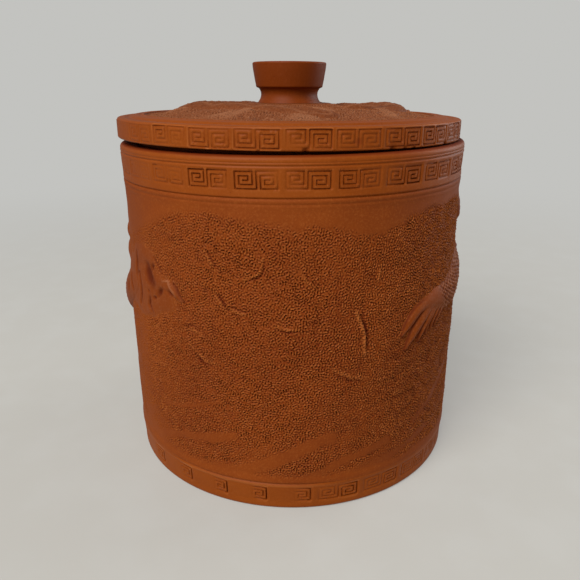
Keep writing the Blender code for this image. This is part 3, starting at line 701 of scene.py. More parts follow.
def make_key_band(name, node, top, stamps, first, seed, depth, above, below, inner, fades, worn, moved,
                  knocks=(), rocked=None):
    """A closed ring whose face is pressed all round with stamps, each a little off in place, tilt and depth.

    above, below and inner are the profile over and under the stamps' rows and its part sunk in the clay.
    fades says where the stamps end, worn how deep some of them are, and moved how far they shift.
    """
    on_jar = node == "jar_body"
    ring = radius_at(top) if on_jar else LID_RADIUS
    face = [(radius_at(height) if on_jar else LID_RADIUS, height) for height in stamp_rows(top)]
    profile = above + face + below + inner
    pitch = 2 * math.pi * ring / stamps
    places = np.array(stamp_columns(pitch))
    piece = spun(name, profile, len(places) * stamps)
    row, column = read_tag(piece.data, "row"), read_tag(piece.data, "column")
    radii, heights = np.array(profile)[row].T
    stamp, across = column // len(places), places[column % len(places)]
    random = np.random.RandomState(seed)
    spans = ((-0.35, 0.35), (-0.22, 0.22), (-0.022, 0.022), (-0.6, 0.6), (-0.5, 0.5), (0.75, 1.1))
    drawn = [random.uniform(low, high, stamps) for low, high in spans]
    shift, lift, tip, lean_across, lean_up, strike = drawn
    centres = first + np.arange(stamps) * 360 / stamps
    for changes, target, keeps in ((worn, strike, 0), (moved, centres, 1)):
        for angle, value in changes:
            nearest = np.abs(off_front(centres - angle)).argmin()
            target[nearest] = target[nearest] * keeps + value
    centres = np.concatenate(([centres[-1] - 360], centres, [centres[0] + 360]))

    up = heights - (top - 2.05 * KEY)
    (high, high_run), (low, low_run) = fades
    kept = ease((high - heights) / high_run) * ease((heights - low) / low_run)
    in_face = row < len(profile) - len(inner)
    hold = hump(across, pitch / 2 + 0.2) ** 0.35 * ease((8 - np.abs(up)) / 4)
    moved_across = across + (shift[stamp] - tip[stamp] * up) * hold
    moved_up = heights + (lift[stamp] + tip[stamp] * across) * hold * in_face * kept
    best = np.min([segment_distance(across, heights - top, *line)[0] for line in key_lines()], axis=0)
    pressed = ease((KEY_STROKE + 0.06 - best) / 0.22)
    lean = 1 + lean_across[stamp] * across / 7 + lean_up[stamp] * up / 2.6
    angle = np.radians(np.interp(stamp + 1 + moved_across / pitch, np.arange(stamps + 2), centres))
    upright = 0.75 + 0.25 * hump(((across / KEY + 0.5) % 1) - 0.5, 0.5)
    spots = turned_to(angle, ring, heights)
    wear = np.clip(0.85 + 0.5 * rough_round(spots, 5, seed), 0.2, 1.3)
    strength = np.clip(strike[stamp] * lean * wear * upright, 0, 1.35)
    if rocked:
        strength = np.clip(strength * rocked(centres[stamp + 1], across, up), 0, 1.9)
    around = ease((2 - best) / 1.6) * 0.1 * strike[stamp]
    out = -depth * pressed * strength - around + 0.05 * rough_round(spots, 7, 9) - 0.05
    out = out * in_face * kept
    # Painted shade in the pressed lines and painted highlight on the ridges beside them
    pit, crest = pressed * strength * 0.4, hump(best - 0.56, 0.3) * 0.85 * strength
    for place, height, size, bite, dark, light in knocks:
        turn = (angle - math.radians(place) + math.pi) % (2 * math.pi) - math.pi
        spot = hump(np.hypot(turn * ring, (heights - height) * 1.3), size)
        out, pit, crest = out - bite * spot, pit + dark * spot, crest + light * spot
    if on_jar:
        shut = wiped_shut(angle)
        closed = in_face * (heights < FOOT_LINE + 0.01) * (heights > FOOT_LINE - LINE_HALF - 0.01) * shut
        radii = radii + closed * (wall_radius(heights) - radii)
        # Painted highlight along the top of the foot's ledge where the line stays open
        crest = crest + 0.8 * hump(heights - FOOT_LINE + 0.85, 0.55) * (1 - shut) * in_face
    points = (slanted if on_jar else seated)(turned_to(angle, radii + out, moved_up))
    body = "jar" if on_jar else "lid"
    dressed(piece, points, body, node, BURNISHED, pit=pit * in_face, crest=crest * in_face)


def rim_strength(angle, across, up):
    """The rim's stamps at the left are nearly smoothed away, but for their lower left ends."""
    return np.where((angle > 280) & (angle < 326) & (across > -5) & (up > -1.4), 0.25, 1)


def foot_strength(angle, across, up):
    """The foot's stamps were rocked: left of the middle only their upper right corners went in."""
    rocked = ease((across - 0.6) / 3.4) * (0.35 + 0.65 * ease((up + 2.4) / 2.6))
    rocked = rocked + 1.1 * ease((across - 5.2) / 0.7)
    turn = off_front(angle)
    share = ease((12 - turn) / 10) * (turn > -120)
    edge = 0.55 + 0.75 * ease((across + 1) / 6)
    return share * rocked * 1.8 + (1 - share) * edge * 1.1


def make_bands():
    make_key_band(
        "rim_key_band", "jar_body", RIM_KEYS, stamps=26, first=4.2, seed=21, depth=0.56, rocked=rim_strength,
        above=half_line(UPPER_LINE, -1, FAINT_DEPTH),
        below=(down(stamp_rows(RIM_KEYS)[-1] - 0.5, LOWER_LINE + LINE_HALF + 0.3, 0.5)
               + half_line(LOWER_LINE, 1)[::-1]),
        inner=[(HIDDEN, LOWER_LINE), (HIDDEN, UPPER_LINE)],
        fades=((UPPER_LINE - 0.5, 0.7), (LOWER_LINE + 0.6, 0.8)),
        worn=((-65, 0.3), (-50.9, 0.22), (-37, 0.5), (-23.4, 1), (-9.5, 0.9), (4.2, 1), (18, 0.8),
              (31.9, 1.05), (45.7, 0.9)),
        moved=((45.7, 0.9), (59.6, 2.8), (73.4, 3)),
    )
    make_key_band(
        "foot_key_band", "jar_body", FOOT_KEYS, stamps=26, first=-0.75, seed=23, depth=0.5,
        rocked=foot_strength,
        above=(half_line(FOOT_LINE, -1)
               + down(FOOT_LINE - LINE_HALF - 0.3, stamp_rows(FOOT_KEYS)[0] + 0.35, 0.5)),
        below=(down(stamp_rows(FOOT_KEYS)[-1] - 0.45, 1.4, 0.6)
               + arc(radius_at(1.3) - 1.3, 1.3, 1.3, 0, -90, 6)[1:]),
        inner=[(HIDDEN, 0), (HIDDEN, 0.4), (HIDDEN, FOOT_LINE)],
        fades=((FOOT_LINE - 0.5, 0.7), (0.3, 1.6)),
        worn=((-42.3, 0.75), (-28.4, 1), (-14.6, 1.1), (-0.75, 0.9), (13.1, 0.95), (27, 0.9), (40.8, 0.7)),
        moved=((13.1, 0.65), (26.95, 2.3), (40.8, 3.6), (54.7, 2.6), (68.5, 1.2), (-14.6, 1), (-28.4, 1.5),
               (-42.3, 1.9)),
    )
    make_key_band(
        "lid_key_band", "lid", LID_KEYS, stamps=27, first=5.1, seed=25, depth=0.38,
        above=[(61.6, 7.02), (62.4, 7.04)] + arc(LID_RADIUS - 1.2, LID_EDGE - 1, 1.2, 85, 24, 5),
        below=arc(LID_RADIUS - 0.8, 0.8, 0.8, -30, -90, 4) + [(62, 0)],
        inner=[(61, 0.4), (61, 6.4)],
        fades=((LID_EDGE, 0.5), (0.1, 0.5)),
        worn=((-21.6, 0.85), (-35, 0.6), (-48.3, 0.36), (-61.6, 0.06), (-75, 0.06), (18.5, 0.75),
              (72.7, 0.6)),
        moved=((31.8, 1.4), (45.1, 1.5), (58.4, 1.8)),
        # Chips and bruises: angle, height, size, bite, and how much darker and lighter the clay is there
        knocks=((4.3, 0.2, 1.5, 0.9, 0.5, 0), (29.1, 0.1, 1.9, 0.9, 0.5, 0), (33.6, 0.2, 1.3, 0.8, 0.4, 0),
                (37, 0.1, 1, 0.7, 0.4, 0), (52.6, 0.2, 1.6, 0.8, 0.5, 0), (-22, 0.7, 1, 0.3, 0, 0.9),
                (-8, 0.2, 0.8, 0.5, 0.3, 0), (18.3, 2.6, 2.2, 0.1, 0.55, 0), (151, 0.2, 1.6, 0.8, 0.5, 0),
                (236, 6.2, 1.4, 0.6, 0.2, 0.4)),
    )


# The lid


def make_lid():
    """The lid's turned disc: rings on top, flange and hollow below, and a bed for the pitted ground."""
    flange, hollow, bed, thick = 57.6, 52.8, 0.8, 6.2
    profile = lid_line(range(0, 54, 4), bed)
    profile += [(54.9, 7.3), (55, 7.85), (55.4, 8), (55.9, 7.9), (56.3, 7.55), (56.7, 7.5), (57.1, 7.75)]
    profile += [(57.6, 7.9), (58.4, 7.8), (59.2, 7.65), (59.7, 7.5), (60.1, 7), (60.5, 6.85), (61, 6.9)]
    profile += [(61.4, 7), (61.9, 6.6)]
    outer = len(profile)
    profile += [(61.9, 0.25), (flange + 1, 0.05), (flange + 0.3, -0.3), (flange, -1.2)]
    profile += arc(flange - 1.2, -8.8, 1.2, 0, -90, 4) + arc(hollow + 1.2, -8.8, 1.2, -90, -180, 4)
    profile += [(hollow, 0.6), (hollow - 0.8, 1.9), (hollow - 2.4, 2.6)]
    profile += lid_line((46, 38, 30, 22, 14, 6, 0), thick)
    piece = spun("lid_disc", profile, 420)
    points, angle, radius = read_round(piece.data)
    top = read_tag(piece.data, "row") < outer
    ring_wave = (top & (radius > 54)) * 0.06 * rough_round(points, 8, 10)
    under = (~top) * 0.05 * rough_round(points, 9, 12) * (radius < flange - 0.1)
    points = seated(turned_to(angle, radius, points[:, 2] + ring_wave + under))
    dressed(piece, points, "lid", "lid", BURNISHED)


def make_lid_ground():
    """The ground of the lid's relief, between rings and knob, lumpy and pressed all over with pits."""
    profile = lid_line((0, 6, 11, *np.arange(15, 54.9, 0.4)))
    outer = len(profile)
    profile += [(55.05, 7.6), (55.05, 6.9)] + lid_line((50, 40, 30, 15, 0), 1.2)
    piece = spun("lid_ground", profile, 880)
    points, angle, radius = read_round(piece.data)
    across, up, height = points.T
    field = (read_tag(piece.data, "row") < outer) * ease((radius - 15.5) / 2) * ease((54.8 - radius) / 1.2)
    formed = lid_top(radius, angle) - lid_top(radius)
    pressed, pit, crest = pitted(across, up, field)
    wisp = np.sin(angle * 9 + 2.2 * rough(across, up, 14, 18) + radius * 0.16)
    wisp = ease((wisp - 0.55) / 0.4) * ease((radius - 22) / 5) * ease((49 - radius) / 4)
    lumps = 0.4 * rough(across, up, 8, 8) + 0.22 * rough(across, up, 2.6, 9) + 0.45 * wisp - 0.35
    points = seated(turned_to(angle, radius, height + field * (formed + lumps) + pressed))
    # Painted shade in the pits, painted highlight on their crests and along the wisps
    dressed(piece, points, "lid", "lid", LID_SHEEN_CLAY, pit=pit, crest=0.9 * crest + 0.6 * wisp * field)


def make_knob():
    foot = float(lid_top(0)) + 0.3
    top = foot + 14.25
    profile = [(0, top - 0.55), (6, top - 0.52), (10, top - 0.42), (11.9, top - 0.22), (12.5, top - 0.04)]
    profile += arc(13.45, top - 0.62, 0.62, 85, -20, 6)
    profile += [(radius, top - drop) for radius, drop in (
        (13.95, 1.8), (13.72, 3.2), (13.45, 4.8), (13.2, 6.4), (12.95, 7.6))]
    profile += arc(12.1, foot + 5.9, 0.72, -5, -80, 5)
    profile += [(radius, foot + rise) for radius, rise in (
        (11.75, 5), (11.3, 4.4), (10.95, 3.6), (10.85, 2.7), (11, 1.8), (11.35, 0.9), (11.8, 0.3),
        (12, -0.25), (11, -0.3), (0, -0.3))]
    knob = spun("lid_knob_turned", profile, 160)
    points, angle, radius = read_round(knob.data)
    wobble = 0.05 * rough_round(points, 5, 14) * (radius > 3)
    dressed(knob, seated(turned_to(angle, radius + wobble - 0.03, points[:, 2])), "lid", "lid_knob", THROWN)


# Relief

Path = namedtuple("Path", "along side width thickness length share")


def smooth_route(route, steps):
    """A Catmull-Rom curve through a route's points, each a tuple of numbers."""
    ends = np.array([route[0], *route, route[-1]], float)
    points = []
    for before, start, end, after in zip(ends, ends[1:], ends[2:], ends[3:]):
        for step in range(steps):
            t = step / steps
            points.append(
                (-0.5 * t + t * t - 0.5 * t**3) * before
                + (1.0 - 2.5 * t * t + 1.5 * t**3) * start
                + (0.5 * t + 2.0 * t * t - 1.5 * t**3) * end
                + (-0.5 * t * t + 0.5 * t**3) * after
            )
    return np.array(points + [ends[-1]])


def follow(across, up, route, steps=8):
    """For each point: way along a route and signed way across it, and the route's width and thickness there.

    The last two are the whole route's length, and the way across as a share of half the width.
    """
    curve = smooth_route(route, steps)
    lengths = np.hypot(*(curve[1:, :2] - curve[:-1, :2]).T)
    begun = np.concatenate(([0], np.cumsum(lengths)))
    best = np.full(across.shape, 1e9)
    found = np.zeros((4, len(across)))
    for start, end, length, before in zip(curve, curve[1:], lengths, begun):
        if length < 1e-6:
            continue
        distance, signed, along = segment_distance(across, up, start, end)
        nearer = distance < best
        best = np.where(nearer, distance, best)
        sizes = start[2:, None] + (end - start)[2:, None] * along
        here = np.array([before + along * length, np.where(signed < 0, -distance, distance), *sizes])
        found[:, nearer] = here[:, nearer]
    return Path(*found, begun[-1], found[1] / (found[2] / 2))


def follow_each(across, up, routes, steps=8):
    return [follow(across, up, route, steps) for route in routes]


def roll(path, flat=0.75):
    """The height of a half-round roll, falling away below the face outside its outline."""
    crest = path.thickness * unit(1 - path.share * path.share) ** flat
    return np.where(np.abs(path.share) < 1, crest, -0.9 * (np.abs(path.side) - path.width / 2))


def swell(path):
    """The height of a low rise that runs out softly into the clay round it."""
    return np.maximum((path.thickness + 0.3) * (1 - 0.8 * path.share * path.share) - 0.3, -0.9)


def dome(across, up, centre, size, turn=0.0, flat=0.6):
    """The height of an ellipsoid lump, tipped anticlockwise."""
    c, s = math.cos(math.radians(turn)), math.sin(math.radians(turn))
    du, dv = across - centre[0], up - centre[1]
    far = np.hypot((du * c + dv * s) / size[0], (-du * s + dv * c) / size[1])
    return np.where(far < 1, size[2] * unit(1 - far * far) ** flat, -0.9 * (far - 1) * min(size[:2]))


def merged(*heights, soft=0.35):
    """The higher of each, with the crease between them filled a little."""
    total = heights[0]
    for height in heights[1:]:
        near = ease(1 - np.abs(total - height) / soft) * soft * 0.25
        total = np.maximum(total, height) + near * (np.minimum(total, height) > -0.3)
    return total


def scaled(path, length, width):
    """Overlapping scales: each rises from its root to a free edge and drops to the next."""
    rise = 0.0
    for back in (1, 0):
        number = np.floor(path.along / length) - back
        offset = np.where(number % 2 == 0, 0, 0.5)
        middle = (np.floor(path.side / width - offset) + 0.5 + offset) * width
        lengthwise = (path.along - number * length) / (length * 1.75)
        far = np.hypot(lengthwise, (path.side - middle) / (width * 0.62))
        rise = np.where(far < 1, far**1.5, rise)
    return rise


def tooled(across, up, height, seed, share=1.0):
    """Gives the standing clay the small unevenness of hand tools."""
    uneven = 0.1 * rough(across, up, 3, seed) + 0.05 * rough(across, up, 1.1, seed + 1)
    return height + share * uneven * (height > 0)


def in_order(face):
    """A number for each face of a slab by its place; extruding leaves the side faces in no fixed order."""
    middle = face.calc_center_median()
    return middle.z * 1000000 + middle.y * 1000 + middle.x


def make_relief(node, routes, height_of, margin=2.0, cell=0.42, body="jar"):
    """A piece of relief as a thin closed slab: its drawn face in front, and a plain back sunk in the clay.

    It is drawn on a box round its routes, whose points start with place and width.
    """
    surface, material = (on_lid, LID_SHEEN_CLAY) if body == "lid" else (on_wall, CARVED)
    ends = np.array([point[:3] for route in routes for point in route], float)
    low = (ends[:, :2] - ends[:, 2:] / 2).min(axis=0) - margin
    high = (ends[:, :2] + ends[:, 2:] / 2).max(axis=0) + margin
    count = np.maximum(2, np.rint((high - low) / cell).astype(int))

    def spread(flat):
        return ((flat + 1) / 2 * (high - low) + low).T

    shape = bmesh.new()
    bmesh.ops.create_grid(shape, x_segments=int(count[0]), y_segments=int(count[1]), size=1)
    height, _, _ = height_of(*spread(np.array([vertex.co[:2] for vertex in shape.verts])))
    dropped = [vertex for vertex, value in zip(shape.verts, height) if value < -0.62]
    bmesh.ops.delete(shape, geom=dropped, context="VERTS")
    loose = [vertex for vertex in shape.verts if not vertex.link_faces]
    bmesh.ops.delete(shape, geom=loose, context="VERTS")
    back = shape.verts.layers.int.new("back")
    slab = bmesh.ops.extrude_face_region(shape, geom=list(shape.faces), use_keep_orig=True)
    for element in slab["geom"]:
        if isinstance(element, bmesh.types.BMVert):
            element[back] = 1
            element.co.z = -1
    bmesh.ops.recalc_face_normals(shape, faces=shape.faces)
    shape.faces.sort(key=in_order)
    piece = made(node + "_carved", shape)
    front = read_tag(piece.data, "back") == 0
    across, up = spread(read_points(piece.data)[:, :2])
    height, pit, crest = height_of(across, up)
    points = surface(across, up, np.where(front, np.maximum(height, -0.75), -1.15))
    dressed(piece, points, body, node, material, carved=True, pit=pit * front, crest=crest * front)


# Routes on the wall: (angle, height, width, thickness); the body's have one size, to which both are tied
BODY_ROUTE = ((87.5, 78.5, 0.7), (94.5, 68, 0.85), (104, 50, 0.95), (119, 38.5, 1), (136, 42, 1),
              (149, 57, 1), (161, 75, 1), (176, 87, 1), (193, 86, 1), (207, 73, 0.95), (217, 56, 0.85),
              (229, 47, 0.75), (238, 51, 0.7), (243.5, 58, 0.65))
TAIL_ROUTE = ((88.6, 79, 10, 2.3), (93.5, 85.5, 8.2, 2.1), (90.5, 91.5, 6.8, 1.7), (81.5, 96, 5.2, 1.2),
              (86, 101, 4.6, 1.3), (94, 101.5, 3.6, 1.3), (99, 96.5, 2.4, 1))
TUFTS = (((99, 98, 3.2, 1.2), (102, 94, 2.4, 1), (103, 89.5, 0.8, 0.5)),
         ((98, 99, 3, 1.2), (103, 99.5, 2.2, 1), (107, 97.5, 0.8, 0.5)),
         ((98, 97, 3, 1.1), (99, 92, 2.2, 0.9), (97.5, 88, 0.8, 0.5)))


def make_body():
    """The dragon's body: scales along its back, plates along its belly, and a row of fins."""
    route = laid([(angle, height, 15 * size, 4.2 * size - 0.65) for angle, height, size in BODY_ROUTE])

    def height_of(across, up):
        path = follow(across, up, route, 6)
        share, off = path.share, np.abs(path.share)
        belly = ease((-share - 0.38) / 0.08) * (share > -1)
        scales = scaled(path, 2.9, 3.1)
        plate = (path.along / 3.3) % 1
        plates = 0.45 * plate**1.6 * ease((1 - plate) / 0.14)
        carving = scales * 0.55 * ease((0.96 - off) / 0.2) * (1 - belly) + plates * belly
        carving = carving - 0.45 * hump(share + 0.4, 0.07)
        tooth = (path.along / 4.6) % 1
        reach = 3.6 * (1 - np.abs(tooth - 0.35) / np.where(tooth < 0.35, 0.35, 0.65))
        beyond = path.side - path.width / 2 + 0.9
        fin = np.where(beyond > -0.5, 1.7 * ease((reach - beyond) / 1.4) - 0.75, -0.9)
        ribs = 0.18 * np.cos(tooth * 25) * (fin > 0)
        fin = np.where((path.along > 6) & (path.along < path.length - 3), fin + ribs, -0.9)
        height = tooled(across, up, np.maximum(roll(path, 0.62) + carving * (off < 1), fin), 40)
        # Painted shade between scales, in the belly's line and between plates; painted highlight on the
        # scales' free edges
        pit = (1 - scales) ** 3 * 0.5 * (1 - belly) * (off < 0.9)
        pit = pit + hump(share + 0.4, 0.08) * 0.7 + belly * (plate < 0.12) * 0.5
        return height, pit, scales**4 * 0.5 * (off < 0.7) * (1 - belly)

    make_relief("dragon_body", [route], height_of, margin=5.5)


def make_tail():
    route, tufts = laid(TAIL_ROUTE), [laid(tuft) for tuft in TUFTS]

    def height_of(across, up):
        path = follow(across, up, route, 6)
        scales = scaled(path, 2.3, 2.4) * ease((0.95 - np.abs(path.share)) / 0.2)
        body = roll(path)
        body = body + 0.4 * scales * (body > 0)
        hair = [roll(tuft) + 0.16 * np.cos(tuft.side * 5.5) for tuft in follow_each(across, up, tufts)]
        height = tooled(across, up, merged(body, np.max(hair, axis=0)), 44)
        # Painted shade between scales and painted highlight on their edges
        return height, (1 - scales) ** 3 * 0.4 * (body > 0.2), scales**4 * 0.4

    make_relief("dragon_tail", [route, *tufts], height_of)


HAUNCH_ROUTE = ((85, 73.5, 16, 2.1), (73, 74.4, 17.2, 1.7), (64, 71.8, 13.6, 1.5), (56.5, 71.2, 10.2, 1.4),
                (50, 71.6, 8, 1.2), (44, 71.4, 4.6, 0.9), (39.5, 70.6, 2.6, 0.5))
STRANDS = (
    ((46, 72, 3.4, 0.3), (40.5, 70.4, 3.7, 1), (36.7, 67, 3.6, 0.95), (33.6, 62.9, 1.1, 0.35)),
    ((48, 70.6, 3.4, 0.4), (43.2, 67.6, 3.9, 1.15), (39, 63.2, 3.9, 1), (35.3, 57.4, 1.1, 0.4)),
    ((49.5, 70, 2.1, 0.4), (45.6, 66.6, 2, 1.1), (42.6, 62.6, 1.9, 1), (40.6, 58.6, 0.8, 0.4)),
    ((50.8, 69.8, 2, 0.4), (47.8, 67.2, 1.9, 1.05), (45.3, 64.3, 1.8, 0.95), (44.2, 60.4, 0.8, 0.4)),
    ((53.2, 69.6, 2.1, 0.4), (50.5, 67.2, 2, 0.95), (47.9, 64.2, 1.8, 0.85), (46.7, 60.6, 0.8, 0.35)),
    ((56, 69, 2.1, 0.4), (53, 66.4, 1.9, 0.8), (50.4, 63.6, 1.5, 0.65), (49.2, 61.4, 0.7, 0.3)),
)


def make_haunch():
    """The thigh that comes round to the plain side: wrinkled hide, smooth elbow, and combed hair below."""
    route, strands = laid(HAUNCH_ROUTE), [laid(strand) for strand in STRANDS]

    def height_of(across, up):
        angle = angle_at(across)
        path = follow(across, up, route, 6)
        thigh = roll(path, 0.8)
        hide = ease((angle - 50 - 0.35 * (74 - up)) / 4)
        wrinkles = (scaled(path, 1.35, 1.5) - 0.5) * 0.75 + 0.3 * rough(across, up, 1.1, 52)
        thigh = thigh + wrinkles * hide * (thigh > 0.1)
        # dark holds painted shade along the edges of the locks of hair
        hair, dark = -9.0, 0.0
        for strand in follow_each(across, up, strands):
            lock = roll(strand, 0.7)
            lock = lock + 0.1 * np.cos(strand.side * 5.2) * (strand.width > 2.3) * (lock > 0.1)
            edge = hump(np.abs(strand.side) - strand.width / 2, 0.5)
            dark = np.where(lock > hair, edge * (lock < 0.55) * (lock > -0.4), dark)
            hair = np.maximum(hair, lock)
        combed = ease((64 - angle) / 9) * ease((angle - 46) / 4) * ease((71.5 - up) / 3) * (thigh > 0.1)
        bent = across * 0.8 - up * 0.6 + 0.5 * rough(across, up, 4, 53)
        lines = 0.2 * np.cos(bent * 5.4) * combed
        height = tooled(across, up, merged(thigh + lines, hair, soft=0.5), 48, 0.7)
        # Painted shade at the hair's edges, in wrinkles and combed lines; painted highlight on wrinkles and
        # combed lines, and a painted sheen over the hide
        pit = dark * 0.9 * ease((0.55 - thigh) / 0.5)
        pit = pit + np.clip(-wrinkles, 0, 0.4) * 2.6 * hide * (thigh > 0.1)
        crest = (0.15 + np.clip(wrinkles, 0, 0.5) * 2) * hide * (thigh > 0.2) + np.clip(lines * 3, 0, 0.5)
        return height, pit + np.clip(-lines * 2.6, 0, 0.5), crest

    make_relief("dragon_haunch", [route, *strands], height_of, cell=0.36)


ARM_ROUTE = ((-94, 54, 10, 2.7), (-84, 60.8, 11.5, 2.4), (-75, 67.6, 13, 1.9), (-68.5, 71.2, 11.5, 1.3),
             (-63, 73.6, 8, 0.8), (-60, 75, 5, 0.4))
PALM_AND_TOES = (
    ((-66, 74.5, 18, 0.35), (-57, 75.5, 20, 0.35), (-49, 76, 18, 0.28), (-42, 76.5, 12, 0.15)),
    ((-59, 84.5, 9, 0.12), (-53.5, 86, 8, 0.1), (-48.5, 86, 6, 0.1)),
    ((-57, 76.5, 8, 0.4), (-48, 78, 7, 0.4), (-40.5, 79.2, 5, 0.42), (-34.6, 75.6, 2.2, 0.15)),
    ((-60.5, 70, 8, 0.2), (-54, 67.6, 7, 0.12), (-48, 68.6, 5, 0.1)),
    ((-77, 83.6, 6, 0.55), (-74.5, 83, 6, 0.5), (-71.5, 82, 5, 0.15)),
)
CLAW_LIP = ((-42.4, 80.4), (-40, 81), (-38.8, 79), (-37.4, 77.6), (-36.4, 76.6))


def make_reaching_claw():
    """The forefoot that reaches round to the plain side, pressed low and worn smooth."""
    arm, swells = laid(ARM_ROUTE), [laid(route) for route in PALM_AND_TOES]

    def height_of(across, up):
        angle = angle_at(across)
        path = follow(across, up, arm)
        upper = roll(path)
        wrinkles = scaled(path, 2.2, 2.2)
        upper = upper + 0.3 * wrinkles * (upper > 0.2) * ease((-74 - angle) / 4)
        low = np.max([swell(rise) for rise in follow_each(across, up, swells)], axis=0)
        height = merged(upper, low, soft=0.8) + 0.12 * rough(across, up, 3.2, 56)
        height = height + 0.1 * rough(across, up, 7, 57)
        cuts = np.min([groove(across, up, *cut) for cut in CLAW_CUTS], axis=0)
        lip = groove(across, up, CLAW_LIP, 0.5, -0.4)
        height = np.where(height > -0.4, np.maximum(height + cuts, -0.6), height) + lip * (height > -0.3)
        share = pitted_share(angle, up) * ease((angle + 48 - 12 * ease((84 - up) / 6)) / 5)
        pressed, pit, ridge = pitted(across, up, share)
        # Painted highlight on the lip, the wrinkles and the pits' crests; painted shade in the pits and the
        # cut hollows
        crest = np.clip(lip * 2, 0, 0.8) + wrinkles**4 * 0.4 * (upper > 0.3) * (angle < -76) + ridge
        return height + pressed, pit + np.clip(-cuts * 1.5, 0, 0.9), crest

    make_relief("dragon_reaching_claw", [arm, *swells], height_of, margin=4.0, cell=0.36)


def talon_routes(palm, tips):
    """Routes from the palm to each talon's tip, given as (angle, height, bend)."""
    routes = []
    for number, (angle, height, bend) in enumerate(tips):
        run, rise = angle - palm[0], height - palm[1]
        width, thickness = 4 + 0.3 * number, 2.2 + 0.15 * number
        routes.append(laid([
            *((palm[0] + share * run, palm[1] + share * rise + bend * bent, width * wide, thickness * thick)
              for share, bent, wide, thick in ((-0.1, 0, 1, 1), (0.5, 1, 0.9, 1), (0.8, 0.5, 0.62, 0.75))),
            (angle, height, 0.8, 0.77),
        ]))
    return routes


def make_foot(node, bones, tips, seed):
    leg = laid([(*place, *size) for place, size in zip(bones, ((11, 3.4), (8.5, 3), (7.5, 2.8)))])
    toes = talon_routes(bones[-1], tips)

    def height_of(across, up):
        path = follow(across, up, leg)
        scales = scaled(path, 2.3, 2.3)
        limb = roll(path, 0.7)
        limb = limb + 0.38 * scales * (limb > 0.2)
        digits, rings, nails = -9.0, 0.0, 0.0
        for toe in follow_each(across, up, toes):
            way = toe.along / toe.length
            past = toe.along - toe.length * 0.68
            digit = roll(toe, 0.65)
            knuckle = 0.22 * np.cos(way * 26) * (way < 0.66) * (way > 0.2)
            nail = hump(past, 0.5)
            rings = np.where(digit > digits, nail, rings)
            nails = np.where(digit > digits, ease(past / 0.6), nails)
            digits = np.maximum(digits, digit + (knuckle - 0.3 * nail) * (digit > 0.1))
        height = tooled(across, up, merged(limb, digits, soft=0.5), seed)
        # Painted shade round the nails' roots and between scales; painted highlight on the scales' edges and
        # the nails
        pit = rings * 0.6 * (digits > 0.2) + (1 - scales) ** 3 * 0.4 * (limb > 0.3) * (limb > digits)
        return height, pit, scales**4 * 0.4 * (limb > digits) + nails * 0.25 * (digits > 0.3)

    make_relief(node, [leg, *toes], height_of)


